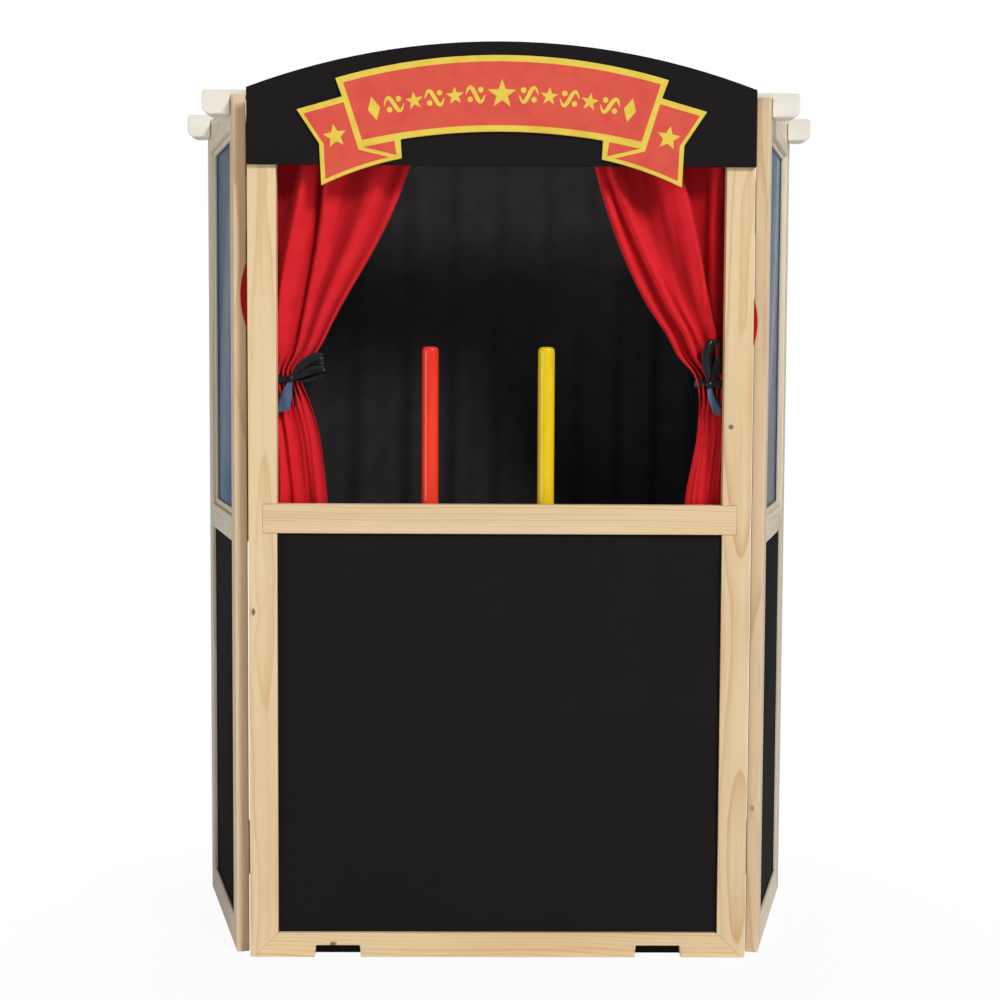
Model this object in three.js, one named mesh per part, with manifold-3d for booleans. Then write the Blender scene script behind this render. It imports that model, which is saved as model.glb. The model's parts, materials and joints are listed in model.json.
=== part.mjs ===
// A children's puppet theater stand: a pine front frame with an arched header, two hinged side
// wings, two cross bars that lock the wings, curtains, a backdrop and two posts for hand puppets.
// Sizes are in millimetres. +X is the audience's right, +Y goes back from the stage, +Z is up.
// The origin is on the floor, in the middle of the front frame's width and thickness.
import * as THREE from 'three';
import { mergeVertices } from 'three/addons/utils/BufferGeometryUtils.js';
import Module from 'manifold-3d';

// Clearances shared by every seat and cut
const seatGap = 0.3;
const cutLength = 5;

// Front frame, planed pine
const frameWidth = 700;
const frameThickness = 20;
const stileWidth = 39.5;
const stileTopGap = 10.5;
const stileToeRadius = 4;
const bottomRailHeight = 35;
const sillTop = 643;
const sillHeight = 41;
const sillTongueLength = 19.8;
const sillTongueDepth = 10;
const topRailHeight = 40;
const notchWidth = 62.3;
const notchHeight = 17;
const notchOffset = 226.6;
const notchSlopeWidth = 1.5;

// Arched header board and the ribbon banner on it
const headerThickness = 6;
const openingHeight = 467;
const headerShoulderHeight = 104.5;
const headerArchHeight = 63.5;
const bannerThickness = 4;
const bannerWidth = 561.6;
const bannerHeight = 177.7;
const bannerTopGap = 19;
const arcSteps = 28;

// Sheet that closes the lower front, the bead behind it and the strip behind the bottom rail
const sheetThickness = 4;
const sheetSetback = 6;
const skirtingThickness = 4;
const skirtingFloorGap = 0.5;
const skirtingOverlapWidth = 11.5;

// Socket rail behind the sill and the two painted posts
const postRailLength = 300;
const postRailDepth = 36;
const postRailHeight = 28;
const postRailTopGap = 5;
const postDiameter = 23.5;
const postAboveSillHeight = 220;
const socketDepth = 22;
const socketClearance = 0.4;
const redPostOffset = -98.5;
const yellowPostOffset = 64.7;
const roundSides = 24;

// Side wings, hinged behind the front frame
const wingAngle = THREE.MathUtils.degToRad(14);
const wingLength = 346;
const wingThickness = 18;
const wingTopGap = 5;
const wingEdgeGap = 4;
const wingStileWidth = 40;
const wingTopRailHeight = 45;
const wingMidRailTop = 620.5;
const wingMidRailHeight = 35.5;
const wingBottomRailHeight = 41;
const wingToeRadius = 6;
const wingPanelThickness = 4;
const wingPanelRecessDepth = 5.5;
const paneThickness = 3;
const paneRecessDepth = 9.5;
const beadWidth = 8;
const beadThickness = 4;
const grooveDepth = 6;

// Butt hinges between the frame and the wings
const hingeHeight = 75;
const hingeLeafWidth = 23;
const hingeLeafThickness = 1.5;
const hingePinRadius = 1.5;
const hingePinClearance = 0.2;
const hingeBarrelRadius = 3.2;
const hingeAxisOffset = 3.5;
const knuckleGap = 0.4;
const lowerHingeHeight = 150;
const upperHingeTopGap = 144;

// Cross bars that lie on the wings and hook down outside them
const barDepth = 40;
const barHeight = 34;
const barSlatThickness = 8.7;
const barUpperRadius = 4;
const barLowerRadius = 11;
const hookClearance = 0.8;
const frontBarEndLength = 30.3;
const frontBarOffset = 26;
const rearBarEndLength = 26.2;
const rearBarEndGap = 16;

// Curtain rod on two blocks behind the header
const rodDiameter = 12;
const rodWingGap = 11;
const rodOffset = 10;
const rodBlockInsetWidth = 14.5;
const rodBlockWidth = 12;
const rodBlockWallThickness = 3.4;
const rodSocketWallThickness = 3;

// Curtains and their ribbon ties
const clothThickness = 4;
const curtainHeadHeight = 8.5;
const curtainHemDrop = 25;
const curtainHeadingGap = 2.8;
const curtainBulgeWidth = 26;
const curtainHeadingDepth = 18;
const curtainHeadingHeight = 18;
const curtainHeadingEaseHeight = 9;
const curtainFolds = 5;
const curtainColumns = 30;
const curtainRows = 16;
const curtainFoldDepth = 8;
const leftTieHeight = 817;
const rightTieHeight = 812;
const tieBandHeight = 13;
const tieBandThickness = 2;
const tieBandWidth = 72;
const tieBandDepth = 27;
const tieBandCornerRadius = 8;
const tieBandOffset = 6.5;
const tieBandDepthOffset = 19.5;
const bowThickness = 3;
const bowGap = 3;
const bowLoopLength = 46;
const bowLoopWidth = 17;
const knotOffset = 17.5;
const knotRadius = 9;
const tieHookWidth = 4;
const tieHookHeight = 10;
const tieHookOffset = 7.5;

// Backdrop cloth that hangs from the rear bar
const backdropOverhangWidth = 45;
const backdropBottom = 560;
const backdropFoldDepth = 5;
const backdropFolds = 12;
const backdropFoldSteps = 6;
const backdropRows = 6;

// Places worked out from the sizes above
const halfWidth = frameWidth / 2;
const frameFront = -frameThickness / 2;
const frameBack = frameThickness / 2;
const stileInner = halfWidth - stileWidth;
const headerFront = frameFront - headerThickness;
const hingeAxisY = frameBack + hingeAxisOffset;
const wingInside = hingeAxisOffset;
const headerBottom = sillTop + openingHeight;
const headerShoulder = headerBottom + headerShoulderHeight;
const headerApex = headerShoulder + headerArchHeight;
const stileHeight = headerShoulder - stileTopGap;
const wingHeight = headerShoulder - wingTopGap;
const barUnderside = wingHeight + seatGap;
const barTop = barUnderside + barSlatThickness;
const barBottom = barTop - barHeight;
const bannerTop = headerApex - bannerTopGap;
const postRailTop = sillTop - postRailTopGap;
const sheetBack = frameFront + sheetSetback + sheetThickness;
const rodHeight = wingHeight + rodWingGap;
const rodBehind = frameBack + rodOffset;
const rodBlockCentre = stileInner - rodBlockInsetWidth;
const curtainTop = rodHeight + curtainHeadHeight;
const curtainBottom = sillTop - curtainHemDrop;
const tieHeight = { left: leftTieHeight, right: rightTieHeight };
const tieBandCentre = stileInner - tieBandOffset;
const tieBandBehind = frameBack + tieBandDepthOffset;
const bowFront = frameBack + bowGap;
const knotX = stileInner - knotOffset;
const tieHookX = stileInner + tieHookOffset;
const upperHingeHeight = stileHeight - upperHingeTopGap;
const wingOutside = wingInside + wingThickness;
const wingRearEdge = wingEdgeGap + wingLength;
const wingRearY = hingeAxisY + wingRearEdge * Math.cos(wingAngle);
const rearBarFront = wingRearY - rearBarEndGap - barDepth;

const wasm = await Module();
wasm.setup();

const pine = { color: 0xdcc09a, roughness: 0.6, metalness: 0 };
const paleWood = { color: 0xe6e0d2, roughness: 0.55, metalness: 0 };
const blackBoard = { color: 0x232021, roughness: 0.7, metalness: 0 };
const bannerPaint = { color: 0xe0584b, roughness: 0.5, metalness: 0 };
const redPaint = { color: 0xdd3a25, roughness: 0.4, metalness: 0 };
const yellowPaint = { color: 0xf0cf1c, roughness: 0.4, metalness: 0 };
const zincSteel = { color: 0xb9bbbd, roughness: 0.35, metalness: 0.9 };
const clearPane = { color: 0x7d97b5, roughness: 0.15, metalness: 0, transparent: true, opacity: 0.6 };
const redCloth = { color: 0xc01c28, roughness: 0.9, metalness: 0 };
const blackCloth = { color: 0x1d1b1c, roughness: 0.95, metalness: 0 };
const blackSatin = { color: 0x1a1c22, roughness: 0.4, metalness: 0 };

// A closed geometry becomes a solid once its shared corners are merged.
function solidOf(geometry) {
  const bare = geometry.clone();
  bare.deleteAttribute('normal');
  bare.deleteAttribute('uv');
  const merged = mergeVertices(bare);
  const triVerts = new Uint32Array(merged.index.array);
  const vertProperties = new Float32Array(merged.attributes.position.array);
  return new wasm.Manifold(new wasm.Mesh({ numProp: 3, vertProperties, triVerts }));
}

function geometryOf(solid) {
  const mesh = solid.getMesh();
  const geometry = new THREE.BufferGeometry();
  geometry.setAttribute('position', new THREE.BufferAttribute(mesh.vertProperties, 3));
  geometry.setIndex(new THREE.BufferAttribute(mesh.triVerts, 1));
  geometry.computeVertexNormals();
  return geometry;
}

function cut(body, ...tools) {
  return geometryOf(tools.reduce((solid, tool) => solid.subtract(solidOf(tool)), solidOf(body)));
}

function join(...bodies) {
  return geometryOf(bodies.map(solidOf).reduce((solid, other) => solid.add(other)));
}

// A box between two corners.
function block(x0, x1, y0, y1, z0, z1) {
  const geometry = new THREE.BoxGeometry(x1 - x0, y1 - y0, z1 - z0);
  return geometry.translate((x0 + x1) / 2, (y0 + y1) / 2, (z0 + z1) / 2);
}

// An outline drawn in X and Z, as a board whose front face is at y0.
function board(shape, y0, thickness) {
  const geometry = new THREE.ExtrudeGeometry(shape, { depth: thickness, bevelEnabled: false });
  return geometry.rotateX(Math.PI / 2).translate(0, y0 + thickness, 0);
}

// An outline drawn in X and Y, raised from z0.
function prism(shape, z0, height) {
  const geometry = new THREE.ExtrudeGeometry(shape, { depth: height, bevelEnabled: false });
  return geometry.translate(0, 0, z0);
}

// A round bar along Z, or a round cutter.
function roundBar(radius, z0, z1) {
  const geometry = new THREE.CylinderGeometry(radius, radius, z1 - z0, roundSides);
  return geometry.rotateX(Math.PI / 2).translate(0, 0, (z0 + z1) / 2);
}

// The same piece for the other side of the stage, with its faces still pointing out.
function mirrored(geometry) {
  const twin = mergeVertices(geometry.clone().deleteAttribute('normal').deleteAttribute('uv'));
  const place = twin.attributes.position;
  for (let i = 0; i < place.count; i += 1) {
    place.setX(i, -place.getX(i));
  }
  const corner = twin.index.array;
  for (let i = 0; i < corner.length; i += 3) {
    [corner[i], corner[i + 1]] = [corner[i + 1], corner[i]];
  }
  twin.computeVertexNormals();
  return twin;
}

function forSide(side, geometry) {
  return side === 'left' ? mirrored(geometry) : geometry;
}

function polygon(points) {
  return new THREE.Shape(points.map(([x, z]) => new THREE.Vector2(x, z)));
}

// A rectangle with a radius at each corner: low left, low right, high right, high left.
function roundedRectangle(x0, x1, z0, z1, radii) {
  const corners = [[x0, z0], [x1, z0], [x1, z1], [x0, z1]];
  const shape = new THREE.Shape();
  corners.forEach(([x, z], i) => {
    const [px, pz] = corners[(i + 3) % 4];
    const [nx, nz] = corners[(i + 1) % 4];
    const before = new THREE.Vector2(x + Math.sign(px - x) * radii[i], z + Math.sign(pz - z) * radii[i]);
    const after = new THREE.Vector2(x + Math.sign(nx - x) * radii[i], z + Math.sign(nz - z) * radii[i]);
    if (i === 0) {
      shape.moveTo(before.x, before.y);
    } else {
      shape.lineTo(before.x, before.y);
    }
    if (radii[i] > 0) {
      shape.quadraticCurveTo(x, z, after.x, after.y);
    }
  });
  return shape;
}

// Points of the arc that rises to the apex midway between (-half, shoulder) and (half, shoulder).
function archPoints(half, shoulder, apex, steps) {
  const rise = apex - shoulder;
  const radius = (half * half + rise * rise) / (2 * rise);
  const sweep = Math.asin(half / radius);
  return Array.from({ length: steps + 1 }, (_, i) => {
    const angle = sweep * (1 - (2 * i) / steps);
    return [radius * Math.sin(angle), apex - radius * (1 - Math.cos(angle))];
  });
}

// A value read from a table of [share, value] rows, easing from one row to the next.
function along(table, share) {
  const next = table.findIndex(([at]) => at >= share);
  if (next === 0) {
    return table[0][1];
  }
  if (next < 0) {
    return table[table.length - 1][1];
  }
  const [at0, value0] = table[next - 1];
  const [at1, value1] = table[next];
  const step = (share - at0) / (at1 - at0);
  return value0 + (value1 - value0) * step * step * (3 - 2 * step);
}

// A closed sheet from a front and a back surface over a grid of columns (u) and rows (v).
function sheetBetween(columns, rows, front, back) {
  const places = [];
  const corners = [];
  const width = columns + 1;
  const layer = width * (rows + 1);
  [front, back].forEach((surface) => {
    for (let j = 0; j <= rows; j += 1) {
      for (let i = 0; i <= columns; i += 1) {
        places.push(...surface(i / columns, j / rows));
      }
    }
  });
  const at = (side, i, j) => side * layer + j * width + i;
  const quad = (a, b, c, d) => corners.push(a, c, b, a, d, c);
  for (let j = 0; j < rows; j += 1) {
    for (let i = 0; i < columns; i += 1) {
      quad(at(0, i, j), at(0, i + 1, j), at(0, i + 1, j + 1), at(0, i, j + 1));
      quad(at(1, i, j), at(1, i, j + 1), at(1, i + 1, j + 1), at(1, i + 1, j));
    }
    quad(at(0, 0, j), at(0, 0, j + 1), at(1, 0, j + 1), at(1, 0, j));
    quad(at(0, columns, j), at(1, columns, j), at(1, columns, j + 1), at(0, columns, j + 1));
  }
  for (let i = 0; i < columns; i += 1) {
    quad(at(0, i, 0), at(1, i, 0), at(1, i + 1, 0), at(0, i + 1, 0));
    quad(at(0, i, rows), at(0, i + 1, rows), at(1, i + 1, rows), at(1, i, rows));
  }
  const geometry = new THREE.BufferGeometry();
  geometry.setAttribute('position', new THREE.Float32BufferAttribute(places, 3));
  geometry.setIndex(corners);
  geometry.computeVertexNormals();
  return geometry;
}

const stand = new THREE.Group();

function add(group, name, geometry, finish) {
  const mesh = new THREE.Mesh(geometry, new THREE.MeshStandardMaterial(finish));
  mesh.name = name;
  group.add(mesh);
  return mesh;
}

// Front frame: the stiles are mitred to the bottom rail, and the sill's tongues are let into
// housings in their faces. The top rail is hidden behind the header.
function frameStile() {
  const toe = Math.min(stileToeRadius, bottomRailHeight / 2);
  const shape = new THREE.Shape();
  shape.moveTo(halfWidth - toe, 0);
  shape.quadraticCurveTo(halfWidth, 0, halfWidth, toe);
  shape.lineTo(halfWidth, stileHeight);
  shape.lineTo(stileInner, stileHeight);
  shape.lineTo(stileInner, bottomRailHeight);
  const housing = block(
    stileInner - cutLength,
    stileInner + sillTongueLength + seatGap,
    frameFront - cutLength,
    frameFront + sillTongueDepth + seatGap,
    sillTop - sillHeight - seatGap,
    sillTop + seatGap,
  );
  return cut(board(shape, frameFront, frameThickness), housing);
}

function bottomRail() {
  const mitreGap = seatGap * Math.SQRT2;
  const toe = stileToeRadius + mitreGap;
  const outline = [
    [-halfWidth + toe, 0],
    [halfWidth - toe, 0],
    [stileInner - mitreGap, bottomRailHeight],
    [-stileInner + mitreGap, bottomRailHeight],
  ];
  const inner = notchOffset - notchWidth / 2;
  const outer = notchOffset + notchWidth / 2;
  const rail = board(polygon(outline), frameFront, frameThickness);
  const notch = board(
    polygon([
      [inner - notchSlopeWidth, -cutLength],
      [outer + notchSlopeWidth, -cutLength],
      [outer + notchSlopeWidth, 0],
      [outer, notchHeight],
      [inner, notchHeight],
      [inner - notchSlopeWidth, 0],
    ]),
    frameFront - cutLength,
    frameThickness + 2 * cutLength,
  );
  return cut(rail, notch, mirrored(notch));
}

function sillRail() {
  const span = stileInner - seatGap;
  const body = block(-span, span, frameFront, frameBack, sillTop - sillHeight, sillTop);
  const reach = stileInner + sillTongueLength;
  const tongues = block(
    -reach, reach, frameFront, frameFront + sillTongueDepth, sillTop - sillHeight, sillTop,
  );
  return join(body, tongues);
}

add(stand, 'left_stile', mirrored(frameStile()), pine);
add(stand, 'right_stile', frameStile(), pine);
add(stand, 'bottom_rail', bottomRail(), pine);
add(stand, 'sill_rail', sillRail(), pine);
const topRailSpan = stileInner - seatGap;
add(
  stand,
  'top_rail',
  block(-topRailSpan, topRailSpan, frameFront, frameBack, stileHeight - topRailHeight, stileHeight),
  pine,
);

// Header: a thin arched board on the front of the stiles.
function headerBoard() {
  const arch = archPoints(halfWidth, headerShoulder, headerApex, arcSteps);
  return board(
    polygon([[-halfWidth, headerBottom], [halfWidth, headerBottom], ...arch]),
    headerFront,
    headerThickness,
  );
}

add(stand, 'header_board', headerBoard(), blackBoard);

// Banner: one cut-out board, a bowed ribbon whose swallow tails fold behind it and hang lower.
// Each row is a share of the banner's half width and a share of its height.
const ribbonTopCornerShare = [0.805, 0.817];
const ribbonLowApexShare = 0.418;
const tailShares = [
  [0.779, 0.683],
  [1, 0.575],
  [0.892, 0.321],
  [0.88, 0],
  [0.488, 0.209],
];
const foldTopShare = 0.502;

function bannerBoard() {
  const half = bannerWidth / 2;
  const low = bannerTop - bannerHeight;
  const point = ([x, z]) => [x * half, low + z * bannerHeight];
  const [topHalf, topCorner] = point(ribbonTopCornerShare);
  const lowApex = low + ribbonLowApexShare * bannerHeight;
  const upper = archPoints(topHalf, topCorner, bannerTop, arcSteps);
  const bow = (bannerTop - topCorner) / (topHalf * topHalf);
  const foldHalf = foldTopShare * half;
  const lower = archPoints(foldHalf, lowApex - bow * foldHalf * foldHalf, lowApex, arcSteps / 2);
  const right = tailShares.map(point);
  const left = right.map(([x, z]) => [-x, z]);
  return board(
    polygon([...upper, ...left, ...lower.reverse(), ...[...right].reverse()]),
    headerFront - bannerThickness,
    bannerThickness,
  );
}

add(stand, 'banner_board', bannerBoard(), bannerPaint);

// Lower sheet, set into the frame under the sill and held by a square bead behind it.
const sheetEdge = stileInner - seatGap;
const sheetBottom = bottomRailHeight + seatGap;
const sheetTop = sillTop - sillHeight - seatGap;
add(
  stand,
  'lower_panel',
  block(-sheetEdge, sheetEdge, sheetBack - sheetThickness, sheetBack, sheetBottom, sheetTop),
  blackBoard,
);

function sheetBead() {
  const y0 = sheetBack + seatGap;
  const y1 = y0 + beadWidth;
  const frame = block(-sheetEdge, sheetEdge, y0, y1, sheetBottom, sheetTop);
  const inside = sheetEdge - beadWidth;
  const light = block(
    -inside, inside, y0 - cutLength, y1 + cutLength, sheetBottom + beadWidth, sheetTop - beadWidth,
  );
  return cut(frame, light);
}

add(stand, 'panel_bead', sheetBead(), pine);

// Black strip on the back of the bottom rail, which closes the notches down to the floor.
const skirtingEdge = stileInner + skirtingOverlapWidth;
const skirtingBack = frameBack + skirtingThickness;
add(
  stand,
  'skirting_strip',
  block(-skirtingEdge, skirtingEdge, frameBack, skirtingBack, skirtingFloorGap, bottomRailHeight),
  blackBoard,
);

// Socket rail behind the sill and a little below its top, with the posts standing in blind holes.
const postBehind = frameBack + postRailDepth / 2;
const postFoot = postRailTop - socketDepth;

function socketRail() {
  const rail = block(
    -postRailLength / 2,
    postRailLength / 2,
    frameBack,
    frameBack + postRailDepth,
    postRailTop - postRailHeight,
    postRailTop,
  );
  const socket = (x) =>
    roundBar(postDiameter / 2 + socketClearance, postFoot - seatGap, postRailTop + cutLength)
      .translate(x, postBehind, 0);
  return cut(rail, socket(redPostOffset), socket(yellowPostOffset));
}

// A post turned with a softly domed top.
function post() {
  const radius = postDiameter / 2;
  const top = sillTop + postAboveSillHeight;
  const domeShares = [[1, 0.5], [0.92, 0.25], [0.72, 0.08], [0.4, 0.01]];
  const profile = [
    [0, postFoot],
    [radius, postFoot],
    ...domeShares.map(([out, down]) => [radius * out, top - radius * down]),
    [0, top],
  ];
  const points = profile.map(([x, z]) => new THREE.Vector2(x, z));
  return new THREE.LatheGeometry(points, roundSides).rotateX(Math.PI / 2);
}

add(stand, 'post_rail', socketRail(), pine);
add(stand, 'red_post', post(), redPaint).position.set(redPostOffset, postBehind, 0);
add(stand, 'yellow_post', post(), yellowPaint).position.set(yellowPostOffset, postBehind, 0);

// Curtain rod: a dowel whose ends sit in blocks on the header's back, above the wings' tops.
function rodBlock() {
  const reach = rodDiameter / 2 + rodBlockWallThickness;
  const body = block(
    rodBlockCentre - rodBlockWidth / 2,
    rodBlockCentre + rodBlockWidth / 2,
    frameFront,
    rodBehind + reach,
    rodHeight - reach,
    rodHeight + reach,
  );
  const socket = roundBar(
    rodDiameter / 2 + seatGap,
    rodBlockCentre - rodBlockWidth,
    rodBlockCentre + rodBlockWidth / 2 - rodSocketWallThickness,
  );
  return cut(body, socket.rotateY(Math.PI / 2).translate(0, rodBehind, rodHeight));
}

const rodHalf = rodBlockCentre + rodBlockWidth / 2 - rodSocketWallThickness - seatGap;
add(stand, 'left_rod_block', mirrored(rodBlock()), pine);
add(stand, 'right_rod_block', rodBlock(), pine);
add(
  stand,
  'curtain_rod',
  roundBar(rodDiameter / 2, -rodHalf, rodHalf).rotateY(Math.PI / 2).translate(0, rodBehind, rodHeight),
  pine,
);

// Curtains: each hangs from its pocket on the rod, is drawn aside and gathered by a ribbon.
// Rows give, at a share of the drop, a share of the half opening or of the folds' depth.
const curtainInnerShares = {
  left: [[0, 0.3], [0.19, 0.405], [0.3, 0.494], [0.42, 0.619], [0.5, 0.71], [0.6, 0.813],
    [0.655, 0.892], [0.69, 0.894], [0.77, 0.836], [0.86, 0.808], [1, 0.79]],
  right: [[0, 0.3], [0.19, 0.414], [0.28, 0.471], [0.4, 0.562], [0.46, 0.617], [0.52, 0.684],
    [0.588, 0.779], [0.655, 0.885], [0.69, 0.9], [0.77, 0.905], [0.86, 0.88], [1, 0.85]],
};
const curtainOuterShares = [[0, 0], [0.19, 0.656], [0.4, 1], [0.58, 1],
  [0.655, 0.81], [0.7, 0.81], [0.85, 0.72], [1, 0.72]];
const curtainDepthShares = [[0, 0.2], [0.1, 0.7], [0.35, 1], [0.6, 1],
  [0.66, 0.9], [0.7, 0.9], [0.85, 1], [1, 1]];
const curtainBackShares = [[0, 0], [0.05, 0.2], [0.2, 0.6], [0.64, 1], [0.7, 1], [0.85, 0.8], [1, 0.8]];

function curtain(side) {
  const drop = curtainTop - curtainBottom;
  const headingShare = curtainHeadingHeight / drop;
  const headingOuter = rodBlockCentre - rodBlockWidth / 2 - curtainHeadingGap;
  const outward = stileInner + curtainBulgeWidth - headingOuter;
  const surface = (sign) => (u, v) => {
    const inner = along(curtainInnerShares[side], v) * stileInner;
    const outer = headingOuter + along(curtainOuterShares, v) * outward;
    const wave = Math.cos(u * curtainFolds * 2 * Math.PI);
    const fold = along(curtainDepthShares, v) * curtainFoldDepth * wave;
    const middle = rodBehind + along(curtainBackShares, v) * (tieBandBehind - rodBehind);
    const depth = v <= headingShare ? curtainHeadingDepth : clothThickness;
    return [inner + (outer - inner) * u, middle + fold + (sign * depth) / 2, curtainTop - drop * v];
  };
  const freeShare = (curtainHeadingHeight + curtainHeadingEaseHeight) / drop;
  const rowShares = Array.from({ length: curtainRows + 1 }, (_, j) => {
    if (j < 2) {
      return j * headingShare;
    }
    return freeShare + ((1 - freeShare) * (j - 2)) / (curtainRows - 2);
  });
  const ruled = (sign) => (u, v) => surface(sign)(u, rowShares[Math.round(v * curtainRows)]);
  const cloth = sheetBetween(curtainColumns, curtainRows, ruled(-1), ruled(1));
  const pocket = roundBar(rodDiameter / 2 + seatGap, -cutLength, halfWidth);
  return cut(cloth, pocket.rotateY(Math.PI / 2).translate(0, rodBehind, rodHeight));
}

// Tie: a flat ribbon band round the gathered cloth, with its bow lying in front.
// Rows give each loop's or end's angle in degrees and its share of the loop length.
const bowShares = {
  left: [[149, 1.2], [166, 1.07], [-76, 1.05], [-96, 0.75]],
  right: [[79, 1.3], [98, 1.05], [-78, 1], [-62, 0.75]],
};

function bow(side) {
  const height = tieHeight[side];
  const leaf = ([angle, share]) => {
    const length = bowLoopLength * share;
    const ellipse = new THREE.Shape();
    ellipse.absellipse(length / 2, 0, length / 2, bowLoopWidth / 2, 0, 2 * Math.PI);
    const turn = THREE.MathUtils.degToRad(angle);
    return prism(ellipse, 0, bowThickness).rotateZ(turn);
  };
  const knot = new THREE.Shape().absellipse(0, 0, knotRadius, knotRadius, 0, 2 * Math.PI);
  const knotBack = prism(knot, -tieBandThickness, bowThickness + tieBandThickness);
  const flat = join(knotBack, ...bowShares[side].map(leaf));
  return flat.rotateX(Math.PI / 2).translate(knotX, bowFront + bowThickness, height);
}

function tie(side) {
  const height = tieHeight[side];
  const loop = (inset) =>
    roundedRectangle(
      tieBandCentre - tieBandWidth / 2 + inset,
      tieBandCentre + tieBandWidth / 2 - inset,
      tieBandBehind - tieBandDepth / 2 + inset,
      tieBandBehind + tieBandDepth / 2 - inset,
      Array(4).fill(tieBandCornerRadius - inset),
    );
  const band = loop(0);
  band.holes.push(loop(tieBandThickness));
  return join(prism(band, height - tieBandHeight / 2, tieBandHeight), bow(side));
}

['left', 'right'].forEach((side) => {
  const hook = block(
    tieHookX - tieHookWidth / 2,
    tieHookX + tieHookWidth / 2,
    frameBack,
    bowFront + bowThickness - seatGap,
    tieHeight[side] - tieHookHeight / 2,
    tieHeight[side] + tieHookHeight / 2,
  );
  add(stand, `${side}_tie`, forSide(side, tie(side)), blackSatin);
  add(stand, `${side}_tie_hook`, forSide(side, hook), zincSteel);
  add(stand, `${side}_curtain`, forSide(side, curtain(side)), redCloth);
});

// Side wings: two stiles, three rails, a sheet in grooves below and a clear pane above.
// Across is measured from the hinge pin outwards, and run from the pin towards the back.
const railStart = wingEdgeGap + wingStileWidth + seatGap;
const railEnd = wingRearEdge - wingStileWidth - seatGap;
const sheetOutside = wingOutside - wingPanelRecessDepth;
const paneOutside = wingOutside - paneRecessDepth;
const midRailBottom = wingMidRailTop - wingMidRailHeight;
const topRailBottom = wingHeight - wingTopRailHeight;

function infill(outside, thickness, low, high, grow) {
  return block(
    outside - thickness - grow,
    outside + grow,
    railStart - grooveDepth - grow,
    railEnd + grooveDepth + grow,
    low - grooveDepth - grow,
    high + grooveDepth + grow,
  );
}

function lowerInfill(grow) {
  return infill(sheetOutside, wingPanelThickness, wingBottomRailHeight, midRailBottom, grow);
}

function paneInfill(grow) {
  return infill(paneOutside, paneThickness, wingMidRailTop, topRailBottom, grow);
}

function wingStile(run, radii) {
  const shape = roundedRectangle(run, run + wingStileWidth, 0, wingHeight, radii);
  const upright = board(shape, 0, wingThickness).rotateZ(Math.PI / 2).translate(wingOutside, 0, 0);
  return cut(upright, lowerInfill(seatGap), paneInfill(seatGap));
}

function wingRail(low, high) {
  const rail = block(wingInside, wingOutside, railStart, railEnd, low, high);
  return cut(rail, lowerInfill(seatGap), paneInfill(seatGap));
}

function paneBead() {
  const y0 = railStart + seatGap;
  const y1 = railEnd - seatGap;
  const z0 = wingMidRailTop + seatGap;
  const z1 = topRailBottom - seatGap;
  const x0 = paneOutside + seatGap;
  const x1 = x0 + beadThickness;
  const frame = block(x0, x1, y0, y1, z0, z1);
  const light = block(
    x0 - cutLength, x1 + cutLength, y0 + beadWidth, y1 - beadWidth, z0 + beadWidth, z1 - beadWidth,
  );
  return cut(frame, light);
}

// One leaf of a butt hinge with its knuckles: a plate and rings round the pin, from z0 upwards.
function hingeLeaf(plate, z0, knuckles) {
  const knuckleHeight = hingeHeight / 3;
  const rings = knuckles.map((i) =>
    roundBar(
      hingeBarrelRadius,
      z0 + i * knuckleHeight + knuckleGap / 2,
      z0 + (i + 1) * knuckleHeight - knuckleGap / 2,
    ));
  const others = [0, 1, 2].filter((i) => !knuckles.includes(i)).map((i) =>
    roundBar(
      hingeBarrelRadius + knuckleGap,
      z0 + i * knuckleHeight - knuckleGap / 2,
      z0 + (i + 1) * knuckleHeight + knuckleGap / 2,
    ));
  const bore = roundBar(hingePinRadius + hingePinClearance, z0 - cutLength, z0 + hingeHeight + cutLength);
  return cut(join(plate, ...rings), ...others, bore);
}

function frameLeaf(z0) {
  const plate = block(
    -hingeLeafWidth,
    0,
    -hingeAxisOffset,
    -hingeAxisOffset + hingeLeafThickness,
    z0,
    z0 + hingeHeight,
  );
  return hingeLeaf(plate, z0, [0, 2]);
}

function wingLeaf(z0) {
  const plate = block(
    hingeAxisOffset - hingeLeafThickness - seatGap,
    hingeAxisOffset - seatGap,
    0,
    hingeLeafWidth,
    z0,
    z0 + hingeHeight,
  );
  return hingeLeaf(plate, z0, [1]);
}

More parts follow.
